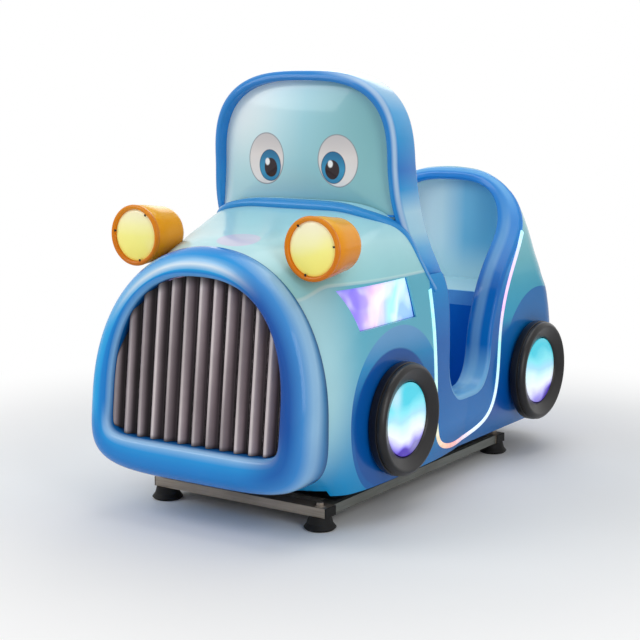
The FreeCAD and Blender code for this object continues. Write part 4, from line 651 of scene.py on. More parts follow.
def trim_paint():
    """Blue of the hoop and the rims, with pale bands that are partly airbrush and partly painted highlights;
    front is 1 on the hoop's face.
    """
    paint = Paint("trim_blue", rough=0.20, coat=0.18)
    x, z = paint.x, paint.z
    # Side of the hoop by height: blue with pale bands, partly airbrush and partly painted highlights.
    side = paint.fade(z, 0.15, 1.20,
        "0 #0F75C8 0.3 #0961B8 0.4 #0C79D2 0.48 #1595E6 0.56 #62B8EE 0.62 #A8DCF4 0.7 #B0DEF4 "
        "0.78 #1A9BE0 0.84 #0C79D0 0.92 #1A9DE2 0.97 #58B4EE 1 #A8D6F6")
    # Rim: paler low down at the sill, as a painted highlight.
    rim = paint.fade(z, 0.26, 0.89, "0 #78BCEC 0.1 #0F79CE 0.45 #0B6DC4 0.75 #1289DC 1 #108BE4")
    band = paint.value("band")
    # Glint: a pale painted highlight along the middle of the rim's band.
    glint = paint.where((band, 0.34, 0.52), (band, 0.86, 0.66), (z, 0.95, 0.60))
    rim = paint.tint(rim, glint, "#A4DCF8", 0.40)
    # Crown: a pale painted highlight along the outer edge of the arch's rim.
    crown = paint.where((band, 0.05, 0.20), (band, 0.55, 0.30), (z, 0.72, 0.86))
    rim = paint.tint(rim, crown, "#84CEFC", 0.65)
    colour = paint.mix(paint.step(band, 0.0, 0.02), side, rim)
    front = paint.value("front")
    face = paint.fade(z, 0.80, 1.20, "0 #3498E0 0.35 #2A86D2 0.75 #2682CE 1 #227CC8")
    # Pale painted highlight on the rounded front edge of the hoop, towards its right.
    glow = paint.where((front, 0.05, 0.35), (front, 0.75, 0.45), (x, 0.02, 0.22))
    edge = paint.mix(paint.times(glow, 0.75), "#1085D6", "#C4E0F8")
    colour = paint.lay(colour, edge, (front, 0.0, 0.35))
    colour = paint.lay(colour, face, (front, 0.62, 0.92))
    paint.sprayed(colour, 0.06, 7.0)


def nose_paint():
    """Surround, partly airbrushed and partly painted light: the left side painted lighter than the right,
    pale painted highlight bands over the top and along the lip, painted shade low down. The round value runs
    from the seam (0) over the crest (1) to the lip (2).
    """
    paint = Paint("nose_blue", rough=0.20, coat=0.18)
    x, z = paint.x, paint.z
    place = paint.math("DIVIDE", paint.value("round"), 3.0)
    right = paint.step(x, -0.10, 0.20)
    high = paint.step(z, 0.50, 0.68)
    low = paint.step(z, 0.33, 0.22)
    # Left side painted lighter than the right, as painted light from the left.
    left_lit_tone = paint.ramp(place,
        "0 #1699E8 0.12 #1EAFF4 0.3 #1FAFF2 0.42 #1089DC 0.56 #0E81D4 0.62 #8CC6F8 0.68 #0961A8 "
        "1 #0E3C78")
    # Right side: deep blue with a pale painted highlight near the seam.
    right_shade_and_highlight_tone = paint.ramp(place,
        "0 #0A4674 0.02 #3C86BC 0.05 #98C8EC 0.11 #94C6EE 0.2 #4094DE 0.32 #0456AE 0.58 #044CA4 "
        "0.63 #4AA6EA 0.67 #0F57A2 1 #043A78")
    # Over the top: a pale painted highlight band towards the crest and a pale painted highlight line at the
    # lip.
    top_highlight_tone = paint.ramp(place,
        "0 #096BC2 0.1 #1089DE 0.2 #199DEA 0.26 #8CCAF6 0.295 #DCEEFC 0.33 #8CCAF6 0.4 #1FA7EC "
        "0.52 #1083D6 0.62 #74B8F2 0.68 #0961A8 1 #0E3C78")
    # Low down: the darker bottom tones are painted shade, with a pale painted highlight line at the lip.
    low_shade_and_highlight_tone = paint.ramp(place,
        "0 #0967B8 0.16 #0E77CC 0.34 #1389DA 0.46 #1A9BE6 0.6 #A4D0F8 0.66 #0C6DB8 1 #0E3C78")
    colour = paint.mix(right, left_lit_tone, right_shade_and_highlight_tone)
    over = paint.both(high, paint.step(x, 0.22, 0.04))
    colour = paint.mix(over, colour, top_highlight_tone)
    low_right = paint.times(paint.step(x, 0.16, 0.30), 0.75)
    colour = paint.mix(paint.both(low, paint.math("SUBTRACT", 1.0, low_right)), colour, low_shade_and_highlight_tone)
    paint.sprayed(colour, 0.05, 6.0)


def windshield_paint():
    """Pale teal panel, painted lighter towards the top left as painted light and with a painted highlight
    along its left rim, with a pair of plain cartoon eyes.
    """
    paint = Paint("windshield_paint", rough=0.18, coat=0.3)
    x, z = paint.x, paint.z
    # Painted light: paler on the left, most at the top left, and darker to the right.
    across = paint.step(x, -0.24, 0.26)
    colour = paint.ramp(across, "0 #F0FCFF 0.25 #CCEFF8 0.5 #A8DCE8 1 #82BCC2")
    colour = paint.mix(paint.step(z, 1.10, 0.86), colour, paint.ramp(across,
        "0 #BCE6EC 0.5 #A2D4DC 1 #92CCD0"))
    edge = paint.value("edge")
    # Painted highlight along the left part of the panel's rim.
    rim = paint.where((edge, 0.84, 0.97), (x, 0.16, -0.12))
    colour = paint.tint(colour, rim, "#E6F6F8", 0.7)
    white = paint.fade(z, 0.87, 1.04, "0 #F4F0EE 0.6 #EDE5E2 1 #CFC9CA")
    iris = paint.fade(z, 0.87, 0.99, "0 #2C8AB8 0.5 #3A9CC8 1 #1F6F9C")
    for side in (-1, 1):
        lean = side * EYE_LEAN
        middle = (side * EYE_X, EYE_Z)
        gaze = (middle[0] - side * 0.014, middle[1] - 0.019)
        pupil = (gaze[0] - side * 0.003, gaze[1] - 0.006)
        glint = (gaze[0] - 0.009, gaze[1] + 0.010)
        layers = (
            (middle, (0.064, 0.0735), 0.02, lean, "#8A8F98"),
            (middle, (0.0615, 0.0710), 0.03, lean, white),
            (gaze, (0.039, 0.045), 0.03, 0.0, "#1C4F6C"),
            (gaze, (0.037, 0.043), 0.03, 0.0, iris),
            (pupil, (0.023, 0.027), 0.05, 0.0, "#2A1A20"),
            (glint, (0.008, 0.010), 0.25, 0.0, "#FFFFFF"),
        )
        for centre, radii, soft, turn, tone in layers:
            colour = paint.mix(paint.disc(x, z, centre, radii, soft, turn), colour, tone)
    colour = paint.lay(colour, "#2A74C2", (paint.normal_y, -0.1, 0.1))
    paint.sprayed(colour, 0.02, 5.0, (140.0, 0.0003, 0.08))


def grille_paint():
    """Painted corrugated sheet, with painted highlights on the ridges and painted shade in the valleys and
    at the top and bottom ends: phase runs across one rib and gap, rise up the sheet.
    """
    paint = Paint("grille_grey", rough=0.36, coat=0.0)
    x = paint.x
    wander = paint.drift(paint.noise(5.0, 2.0, (1, 1, 0.5)), 0.10)
    phase = paint.plus(paint.value("phase"), wander)
    # Across each rib: a pale painted highlight on the ridge and dark painted shade in the valley.
    tone = paint.ramp(phase,
        "0 #0C0A0B 0.12 #1E191B 0.2 #66575E 0.31 #A4949A 0.42 #CCC0C2 0.52 #E0D6D4 0.62 #B2A4A8 "
        "0.76 #8C7C82 0.85 #463A40 0.93 #161213 1 #0C0A0B")
    rib_noise = paint.step(paint.noise(1.0, 0.0, (31.0, 0.0, 2.2)), 0.30, 0.70)
    dull = paint.tint(tone, rib_noise, "#5C5055", 0.55)
    # Darker valleys on the left part of the grille: painted shade.
    hollow = paint.where((x, 0.02, -0.20), (phase, 0.60, 0.78))
    dull = paint.tint(dull, hollow, "#161213", 0.8)
    rise = paint.value("rise")
    # Darker at the top and bottom ends of the ribs: painted shade where the mouth's edge shades them.
    shaded_ends = paint.math("MAXIMUM", paint.step(rise, 0.93, 0.995), paint.step(rise, 0.03, 0.0))
    colour = paint.tint(dull, shaded_ends, "#1C1A1E", 0.7)
    streak = paint.noise(9.0, 3.0, (6.0, 6.0, 0.35))
    paint.bump(streak, 0.0006, 0.2)
    paint.finish(paint.mottle(colour, 0.12, 22.0))


def lamp_paint():
    paint = Paint("lamp_orange", rough=0.22, coat=0.08)
    y, z = paint.y, paint.z
    # Lighter towards the top: a painted highlight on the barrel.
    tone = paint.fade(z, 0.67, 0.85, "0 #D07400 0.45 #F89A00 0.8 #FFA800 1 #FFBE20")
    rim = paint.step(y, LAMP_Y + 0.014, LAMP_Y + 0.009)
    tone = paint.tint(tone, rim, "#E07806", 0.75)
    paint.sprayed(tone, 0.05, 14.0, (120.0, 0.0004, 0.10))


def lamp_lens():
    """Lit frosted lens: warm yellow low down, near white at the rim."""
    paint = Paint("lamp_lens", rough=0.25, coat=0.4)
    glow = paint.fade(paint.z, 0.69, 0.83, "0 #F8EC74 0.45 #F9F28C 0.75 #F8F2A8 1 #F5F0C6")
    grain = paint.noise(7.0, 1.0)
    glow = paint.tint(glow, paint.step(grain, 0.52, 0.74), "#F8F6DC", 0.35)
    paint.bump(paint.noise(60.0), 0.0004, 0.1)
    paint.finish(paint.mottle(glow, 0.03, 30.0), glow, 0.16)


def wheel_lens():
    """Lit wheel disc: cyan above, white and lavender below, violet at the lower edge."""
    paint = Paint("wheel_light", rough=0.22, coat=0.4)
    up = paint.step(paint.z, WHEEL_Z - 0.100, WHEEL_Z + 0.100)
    drift = paint.drift(paint.noise(8.5, 1.5), 0.80)
    glow = paint.ramp(paint.plus(up, drift, clamp=True),
        "0 #4A2CB0 0.06 #8878E6 0.14 #C8C4F8 0.26 #EEF6FE 0.46 #D2F6F8 0.62 #A4DCF6 0.8 #80E2EE "
        "1 #44CADE")
    bright = paint.step(paint.noise(7.0, 1.0), 0.52, 0.72)
    glow = paint.tint(glow, bright, "#F4F8FF", 0.55)
    paint.bump(paint.noise(40.0), 0.0006, 0.1)
    paint.finish(glow, glow, 0.45)


def side_lens():
    """Lit side panel behind a frosted sheet: lavender, pink and mint clouds."""
    paint = Paint("light_panel", rough=0.30, coat=0.3)
    along = paint.step(paint.y, -0.53, -0.19)
    drift = paint.drift(paint.noise(9.0, 2.0, (1.0, 1.0, 0.6)), 0.75)
    glow = paint.ramp(paint.plus(along, drift, clamp=True),
        "0 #8C7CE8 0.18 #B6A2F2 0.36 #EEC8F2 0.5 #F8E2F4 0.62 #BCD4FA 0.76 #A8F4EC 0.9 #DDFBF4 "
        "1 #9CC8F8")
    bright = paint.step(paint.noise(14.0, 1.0), 0.52, 0.72)
    glow = paint.tint(glow, bright, "#FFFFFF", 0.5)
    paint.finish(glow, glow, 0.45)


def led_glow():
    """Colour-changing light strip; the along value runs from the hoop (0) to the arch (1)."""
    paint = Paint("led_strip", rough=0.30, coat=0.3)
    glow = paint.ramp(paint.value("along"),
        "0 #8CF0F2 0.16 #B4F6F2 0.27 #C8F4D0 0.34 #F0C49A 0.4 #F29A8C 0.45 #E8C4D4 0.5 #E4F4FF "
        "0.62 #D0F2FF 0.72 #8CF0E4 0.8 #F0B8F0 0.9 #E8C8F6 1 #9CEAF4")
    dots = paint.times(paint.noise(60.0, 0.0), 0.35)
    glow = paint.mix(dots, glow, "#FFFFFF")
    paint.finish(glow, glow, 0.55)


def tyre_rubber():
    paint = Paint("tyre_black", rough=0.30, coat=0.0, specular=0.42)
    wear = paint.noise(24.0, 4.0)
    colour = paint.mix(wear, "#0A090A", "#1E1B1C")
    paint.bump(paint.noise(220.0, 3.0), 0.0006, 0.2)
    paint.finish(colour)


def steel(name, dark, light, rough, metal):
    """Rolled or galvanised metal: drawn streaks, spangle and a little grime."""
    paint = Paint(name, rough=rough, metal=metal)
    streak = paint.noise(30.0, 4.0, (0.4, 0.4, 9.0))
    spangle = paint.noise(55.0, 2.0)
    colour = paint.mix(streak, dark, light)
    grime = paint.step(paint.noise(6.0, 4.0), 0.55, 0.78)
    colour = paint.tint(colour, grime, "#5A5550", 0.35)
    paint.put(paint.plus(rough - 0.08, paint.times(spangle, 0.16)), paint.shader.inputs["Roughness"])
    paint.bump(streak, 0.0005, 0.2)
    paint.finish(colour)


def moulded(name, dark, light, rough, grain):
    """Moulded plastic, rubber or powder coat with a fine grain."""
    paint = Paint(name, rough=rough)
    colour = paint.mix(paint.noise(12.0, 3.0), dark, light)
    paint.bump(paint.noise(grain, 2.0), 0.0005, 0.3)
    paint.finish(colour)


def seat_paint():
    """Teal lining of the seat, paler towards the left and the front; the paler left is painted light."""
    paint = Paint("seat_teal", rough=0.24, coat=0.18)
    x, y, z = paint.x, paint.y, paint.z
    # Paler on the left, darker to the right: painted light.
    colour = paint.fade(x, -0.26, 0.26, "0 #E8FAFC 0.35 #D4F4FA 0.6 #80CCEC 1 #6CC0E6")
    colour = paint.lay(colour, "#C4ECF4", (z, 0.66, 0.52))
    front = paint.step(y, 0.412, 0.404)
    colour = paint.mix(front, colour, "#6CBEFC")
    paint.sprayed(colour, 0.03, 6.0)


def interior_paint():
    paint = Paint("interior_blue", rough=0.24, coat=0.18)
    colour = paint.fade(paint.z, 0.18, 0.80, "0 #1484E6 0.5 #1480E0 1 #2A8CE0")
    paint.sprayed(colour, 0.05, 8.0)


# Dark and light colour, roughness, then metal for steel or the grain's scale for moulded parts.
STEEL = {
    "zinc_steel": ("#857A6E", "#B4A89A", 0.42, 0.5),
    "grey_steel": ("#63655F", "#8A8C86", 0.50, 0.6),
    "bright_steel": ("#B8B8BA", "#E0E0E2", 0.24, 1.0),
}
MOULDED = {
    "black_steel": ("#141416", "#232326", 0.42, 300.0),
    "cast_housing": ("#46525C", "#5A6872", 0.55, 180.0),
    "motor_paint": ("#2C3F5C", "#3B5274", 0.40, 160.0),
    "black_rubber": ("#0E0E0E", "#1C1B1B", 0.62, 240.0),
    "black_plastic": ("#171718", "#242426", 0.45, 300.0),
    "grey_plastic": ("#A4A6A8", "#B8BABC", 0.48, 300.0),
    "floor_blue": ("#174A8A", "#24609F", 0.6, 120.0),
    "grille_dark": ("#242022", "#332E30", 0.55, 300.0),
    "wheel_grip": ("#18181A", "#29292B", 0.5, 260.0),
}
PAINTS = (
    body_paint, trim_paint, nose_paint, interior_paint, seat_paint, windshield_paint, grille_paint,
    lamp_paint, lamp_lens, side_lens, led_glow, wheel_lens, tyre_rubber,
)
for make_paint in PAINTS:
    make_paint()
gloss_paint("button_yellow", "#F5B81C")
gloss_paint("button_red", "#D81E1E")
for steel_slot, look in STEEL.items():
    steel(steel_slot, *look)
for moulded_slot, look in MOULDED.items():
    moulded(moulded_slot, *look)
NODE_SLOT = {row["node"]: row["material_slot"] for row in frame["record"]["subparts"]}


def dress(obj, slot):
    obj.data.materials.clear()
    obj.data.materials.append(FINISHES[slot])


def add_piece(obj, slot, body="ride", stands_for=(), angle=35.0):
    """Finish a new piece: smooth shading, its material, its body and the CAD nodes it stands for."""
    shade(obj, angle)
    dress(obj, slot)
    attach(obj, body)
    if stands_for:
        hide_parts(*stands_for)
    return obj


# ---- nose and grille
def nose_y(z):
    return NOSE_FRONT_Y + NOSE_RAKE * max(z - 0.127, 0.0)


def nose_loop(pull, depth_share, count):
    """One loop of the surround's outside, pulled in and run forward from the seam to the crest."""
    half, centre, top, bottom, high, low = NOSE_OVAL
    outline = oval(count, half - pull, centre, top - pull, bottom + pull, high, low)
    loop = []
    for x, z in outline:
        crest = nose_y(z)
        start = min(crest + NOSE_ROUND_DEPTH, NOSE_SEAM_Y - SKIN)
        loop.append((x, start + (crest - start) * depth_share, z))
    return loop


def mouth_loop(grow, back, count):
    half, centre, top, bottom, high, low = MOUTH_OVAL
    outline = oval(count, half + grow, centre, top + grow, bottom - grow, high, low)
    return [(x, nose_y(z) + back, z) for x, z in outline]


def make_nose():
    count = 192
    half, centre, top, bottom, high, low = NOSE_OVAL
    seam = [(x, NOSE_SEAM_Y, z) for x, z in oval(count, half, centre, top, bottom, high, low)]
    loops = [seam]
    places = [0.0]
    for step in range(13):
        turn = math.pi / 2 * step / 12
        loops.append(nose_loop(NOSE_ROUND_INSET * (1 - math.cos(turn)), math.sin(turn), count))
        places.append(0.15 + 0.85 * step / 12)
    for step in range(1, 9):
        turn = math.pi / 2 * step / 8
        lip = MOUTH_LIP * (1 - math.sin(turn)) + 0.001
        loops.append(mouth_loop(lip, 0.024 * (1 - math.cos(turn)), count))
        places.append(1.6 + 0.4 * step / 8)
    for depth, place in ((MOUTH_DEPTH * 0.8, 2.5), (MOUTH_DEPTH + 0.003, 3.0)):
        loops.append(mouth_loop(0.001, depth, count))
        places.append(place)
    nose = grid("nose_skin", loops, ring=True)
    point_values(nose, "round", np.repeat(places, count))
    return add_piece(thicken(nose, NOSE_WALL), "nose_blue", stands_for=("nose_surround",), angle=50)


def mouth_height(x):
    """Lowest and highest z of the mouth at a distance from the middle."""
    half, centre, top, bottom, high, low = MOUTH_OVAL
    share = min(abs(x) / half, 0.9995)
    up = (1 - share ** high) ** (1 / high)
    down = (1 - share ** low) ** (1 / low)
    return centre - (centre - bottom) * down, centre + (top - centre) * up


def rib_profile(phase):
    """Depth share of the corrugated sheet: a flat-topped ridge (0) and a round valley (1)."""
    wave = 0.5 - 0.5 * math.cos(2 * math.pi * phase)
    return min(max((wave - 0.12) / 0.80, 0.0), 1.0) ** 0.85


def make_grille():
    half = MOUTH_OVAL[0] - 0.0005
    steps = RIB_COUNT * 24
    rows, phases, rises = [], [], []
    for k in range(steps + 1):
        x = -half + 2 * half * k / steps
        depth = rib_profile(x / RIB_PITCH)
        low, high = mouth_height(x)
        column = []
        for share in np.linspace(0.0, 1.0, 41):
            z = low + 0.0005 + (high - low - 0.001) * share
            column.append((x, nose_y(z) + MOUTH_DEPTH - RIB_DEPTH * (1 - depth), z))
            phases.append((x / RIB_PITCH + 0.5) % 1.0)
            rises.append(share)
        rows.append(column)
    sheet = grid("grille_sheet", rows)
    point_values(sheet, "phase", phases)
    point_values(sheet, "rise", rises)
    return add_piece(thicken(sheet, SHEET_WALL), "grille_grey", stands_for=("grille_ribs",), angle=60)


# ---- headlights
def make_lamps():
    lip = LAMP_RIM
    back = LAMP_LENGTH
    profile = [(LAMP_R - lip, 0.010), (LAMP_R - lip, 0.004)]
    profile += [(LAMP_R - lip / 2 + r, a) for r, a in arc((0.0, 0.002), lip / 2, 180, 360, 10)]
    profile = [(r, 0.004 - 0.9 * (0.004 - a) if a < 0.004 else a) for r, a in profile]
    profile += [(LAMP_R - 0.001, 0.008), (LAMP_R - 0.0035, 0.012), (LAMP_R - 0.002, 0.017)]
    taper = LAMP_R - LAMP_BACK_R
    profile += [(LAMP_BACK_R + taper * (1 - s), 0.017 + (back - 0.057) * s) for s in (0.33, 0.66, 1.0)]
    profile += [(LAMP_BACK_R - 0.040 + r, back - 0.040 + a) for r, a in arc((0.0, 0.0), 0.040, 8, 90, 9)]
    profile += [(0.001, back)]
    inner = [(max(r - 0.003, 0.001), a) for r, a in reversed(profile[13:])]
    inner[0] = (0.001, back - 0.003)
    profile += inner
    lamp = lathe("lamp_cans", profile, (LAMP_X, LAMP_Y, LAMP_Z), 1)
    return add_piece(mirrored(lamp, "lamp_cans"), "lamp_orange", stands_for=("headlight_shells",), angle=40)


def make_lamp_lenses():
    radius = LAMP_R - LAMP_RIM - 0.0004
    profile = [(AXIS_R, -0.004)]
    profile += [(radius * s, -0.004 + 0.009 * s ** 2.2) for s in (0.15, 0.3, 0.45, 0.6, 0.75, 0.88, 0.96)]
    profile += [(radius, 0.0065), (radius, 0.010), (AXIS_R, 0.010)]
    lens = lathe("lamp_lenses", profile, (LAMP_X, LAMP_Y, LAMP_Z), 1)
    return add_piece(mirrored(lens, "lamp_lenses"), "lamp_lens", stands_for=("headlight_lenses",))


# ---- wheels
def wheel_pair(nodes, profile, slot, segments, angle):
    """Front and rear pairs of one lathed wheel part, which stand for one CAD node."""
    for end, y in zip(("front", "rear"), WHEELS_Y):
        name = f"{end}_{nodes}"
        part = mirrored(lathe(name, profile, (0.0, y, WHEEL_Z), 0, segments), name)
        add_piece(part, slot, angle=angle)
    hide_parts(nodes)


def make_tyres():
    """Flat tread, a groove before the shoulder, and a face that slopes in to the lens."""
    tread = [(WHEEL_R - inset, WHEEL_INNER_X + along) for inset, along in TYRE_BACK]
    tread += [(WHEEL_R - inset, WHEEL_OUTER_X - along) for inset, along in TYRE_TREAD]
    hole = [(WHEEL_HOLE_R + outset, WHEEL_OUTER_X - along) for outset, along in TYRE_HOLE]
    wheel_pair("tyres", [(WHEEL_HOLE_R, WHEEL_INNER_X)] + tread + hole, "tyre_black", 128, 32)


def make_wheel_lenses():
    radius, face, crown = WHEEL_LENS_R, WHEEL_LENS_X, 0.0045
    profile = [(AXIS_R, face + crown)]
    profile += [(radius * s, face + crown - 0.0040 * s ** 2) for s in (0.2, 0.4, 0.6, 0.75, 0.88)]
    profile += [(radius * 0.97, face - 0.0005), (radius, face - 0.002)]
    profile += [(radius, face - 0.005), (AXIS_R, face - 0.005)]
    wheel_pair("wheel_lenses", profile, "wheel_light", 96, 50)


# ---- body skins
def cockpit_cutter(margin):
    """Prism over the cockpit opening, its edge moved into the body by the margin."""
    edge = beside(EDGE, margin)
    outline = list(map(tuple, edge)) + [(edge[-1][0], FAR_UP), (edge[0][0], FAR_UP)]
    return prism("cockpit", outline)


def hoop_cutter():
    front = [(y, z) for y, z in HOOP_EDGE if z > HOOP_CUT_Z] + [(level_y(HOOP_EDGE, HOOP_CUT_Z), HOOP_CUT_Z)]
    outline = front + [(HOOP_CUT_BACK_Y, HOOP_CUT_Z), (HOOP_CUT_BACK_Y, FAR_UP), (front[0][0], FAR_UP)]
    return prism("hoop_room", outline)


def skirt_cutter():
    return block("skirt", (-FAR_OUT, -FAR_OUT, -FAR_OUT), (FAR_OUT, FAR_OUT, SKIRT_Z))


def foot_access():
    """Room in the front shell's underside for the foot bolts when the ride rocks."""
    half, front, rear, top = FOOT_ACCESS
    return block("foot_access", (-half, front, SKIRT_Z - 0.030), (half, rear, top))


def ribbon_mask(points):
    """1 between the light strip and the cockpit edge, 0 on the rest of the side."""
    line = spline(LED_LINE, 120)
    start = np.array([(line[0][0] - 0.004, 0.75)])
    end = np.array([(0.600, 0.800), (0.640, 0.92), (0.3, 1.3), (-0.1, 1.3)])
    loop = np.vstack([start, line, end])
    inside = np.zeros(len(points), bool)
    y, z = points[:, 1], points[:, 2]
    for (y0, z0), (y1, z1) in zip(loop, np.roll(loop, -1, axis=0)):
        crosses = (z0 > z) != (z1 > z)
        inside ^= crosses & (y < (y1 - y0) * (z - z0) / (z1 - z0 + 1e-12) + y0)
    return inside.astype(float)


def make_front_skin():
    count = 176
    places = np.linspace(NOSE_SEAM_Y, JOIN_Y, 110)

    def loop(y, inset):
        half, bottom, top, centre, high, low = body_section(y)
        outline = oval(count, half - inset, centre, top - inset, bottom + inset, high, low)
        return [(x, y, z) for x, z in outline]

    rows = [loop(y, 0.0) for y in places] + [loop(y, SKIN) for y in reversed(places)]
    skin = grid("front_skin", rows, ring=True, loop=True)
    carve(skin, skirt_cutter(), foot_access(), cockpit_cutter(-EDGE_ROUND), hoop_cutter(),
          prism("window", SIDE_WINDOW))
    point_values(skin, "ribbon", ribbon_mask(coordinates(skin)))
    return add_piece(skin, "body_blue", stands_for=("front_body_shell",))


def rear_block(name, inset, front):
    """Closed volume of the rear body, from the join to its rounded back."""
    top = DOME_Z - inset
    rise = np.sin(np.linspace(0.0, math.pi / 2, 44))
    straight = np.linspace(0.060, SHOULDER_Z, 40)[:-1]
    domed = SHOULDER_Z + (top - 0.0002 - SHOULDER_Z) * rise
    rows = []
    for z in np.concatenate([straight, domed]):
        half, end, corner = rear_level(z, inset)
        right = [(half, y) for y in np.linspace(front, end - corner, 60)]
        right += arc((half - corner, end - corner), corner, 0, 90, 18)[1:]
        right += [(x, end) for x in np.linspace(half - corner, 0.0, 12)[1:]]
        left = [(-x, y) for x, y in reversed(right[:-1])]
        rows.append([(x, y, z) for x, y in right + left])
    return grid(name, rows, ring=True, caps=True)


def make_rear_skin():
    skin = rear_block("rear_skin", 0.0, JOIN_Y)
    carve(skin, rear_block("hollow", SKIN, JOIN_Y - 0.01), skirt_cutter(), cockpit_cutter(-EDGE_ROUND),
          block("door_room", *DOOR_ROOM))
    point_values(skin, "ribbon", ribbon_mask(coordinates(skin)))
    return add_piece(skin, "body_blue", stands_for=("rear_body_shell",))


# ---- rims
def edge_path():
    """Outer and inner points of the rim, from the right hoop foot round the arch to the left one."""
    start = int(np.argmax(EDGE[:, 1] < HOOP_CUT_Z))
    outer, inner = [], []
    arch_y, arch_z = EDGE[SILL_INDEX:, 0], EDGE[SILL_INDEX:, 1]
    for y, z in EDGE[start:]:
        if y > JOIN_Y and z > SHOULDER_Z:
            break
        outer.append((side_half(y, z), y, z))
        inner.append((TUB_HALF, y, z))
    for turn in np.radians(np.linspace(1.5, 90.0, 56)):
        radius = (math.cos(turn) ** DOME_POWER + math.sin(turn) ** DOME_POWER) ** (-1 / DOME_POWER)
        rise = radius * math.sin(turn)
        high = SHOULDER_Z + (DOME_Z - SHOULDER_Z) * rise
        low = SHOULDER_Z + (DOME_Z - ARCH_RIM_TOP - SHOULDER_Z) * rise
        high_y, low_y = np.interp((high, low), arch_z, arch_y)
        width = side_half(high_y, high - 1e-5) if turn < math.pi / 2 - 1e-6 else 0.0
        outer.append((width, high_y, high))
        inner.append((TUB_HALF * radius * math.cos(turn), low_y, low))
    flip = np.array((-1.0, 1.0, 1.0))
    outer, inner = np.array(outer), np.array(inner)
    return np.vstack([outer, outer[-2::-1] * flip]), np.vstack([inner, inner[-2::-1] * flip])


def make_rim():
    """Rounded blue band round the cockpit opening."""
    outer, inner = edge_path()
    across = inner - outer
    width = np.linalg.norm(across, axis=1)
    across /= width[:, None]
    lift = unit_rows(np.cross(across, directions((outer + inner) / 2)))
    middle = len(lift) // 2
    if lift[middle][1] > 0:
        lift = -lift
    rows, bands = [], []
    for o, a, n, w in zip(outer, across, lift, width):
        big, small = EDGE_ROUND, min(0.008, w / 3)
        flat = w - big - small
        profile = [(0.0003, -big - 0.004)] + arc((big, -big), big, 180, 90, 8)
        profile += [(big + flat * s, 0.003 * math.sin(math.pi * s)) for s in (0.2, 0.4, 0.6, 0.8)]
        profile += arc((w - small, -small), small, 90, 0, 6) + [(w, -small - 0.010)]
        rows.append([o + a * s + n * h for s, h in profile])
        bands += [0.03 + 0.97 * s / w for s, h in profile]
    rim = grid("cockpit_rim", rows)
    point_values(rim, "band", bands)
    rim = thicken(rim, RIM_WALL)
    return add_piece(rim, "trim_blue", stands_for=("entry_rim",), angle=50)


def hoop_side(inset, steps=40):
    """Right half of the hoop's outline, from its top to its foot."""
    points = []
    half, height = HOOP_HALF - inset, HOOP_TOP_Z - inset - HOOP_CENTRE_Z
    for turn in np.linspace(0.0, math.pi / 2, steps + 1):
        x, z = math.sin(turn) ** (2 / HOOP_POWER), math.cos(turn) ** (2 / HOOP_POWER)
        points.append((half * x, HOOP_CENTRE_Z + height * z))
    for share in np.linspace(0.0, 1.0, 31)[1:]:
        z = HOOP_CENTRE_Z + (HOOP_END_Z - HOOP_CENTRE_Z) * share
        spread = min((HOOP_CENTRE_Z - z) / (HOOP_CENTRE_Z - HOOP_SPREAD_Z), 1.0)
        points.append((half + HOOP_SPREAD * spread ** HOOP_SPREAD_POWER, z))
    return np.array(points)


def level_y(line, z):
    """Place y of a side line at a height, for a line that falls all the way."""
    order = np.argsort(line[:, 1])
    return float(np.interp(z, line[order, 1], line[order, 0]))


def hoop_section(big):
    """Points round the hoop's band as (inward, back, shift); the outer front edge has the big radius."""
    small = 0.006
    inside = (HOOP_BAND - small, small)
    front = arc((big, big), big, 180, 270, 6) + arc(inside, small, 270, 360, 3)
    back = arc(inside, small, 360, 270, 3) + arc((small, small), small, 270, 180, 3)
    return [(inward, 0, shift) for inward, shift in front] + [(inward, 1, shift) for inward, shift in back]


def make_hoop():
    outer, inner = hoop_side(0.0), hoop_side(HOOP_BAND)
    back_line = EDGE[:int(np.argmax(EDGE[:, 1] < 0.48)) + 1]
    fronts = list(np.linspace(0.0, 0.9, 7)) + [1.0] * 11 + [0.0]
    rows = []
    for (xo, zo), (xi, zi) in zip(outer, inner):
        front, back = level_y(HOOP_EDGE, zo), level_y(back_line, zo)
        sink = HOOP_SINK * max((HOOP_SINK_Z - zo) / (HOOP_SINK_Z - HOOP_END_Z), 0.0)
        big = 0.003 + 0.018 * min(max((zo - HOOP_SINK_Z + 0.03) / 0.15, 0.0), 1.0)
        row = []
        for inward, is_back, shift in hoop_section(big):
            share = inward / HOOP_BAND
            x, z = xo + (xi - xo) * share - sink, zo + (zi - zo) * share
            row.append((x, back - shift if is_back else front + shift, z))
        rows.append(row)
    hoop = grid("hoop_skin", both_sides(np.array(rows)), ring=True, caps=True)
    point_values(hoop, "front", fronts * (2 * len(rows) - 1))
    return add_piece(hoop, "trim_blue", stands_for=("cab_hoop",), angle=50)


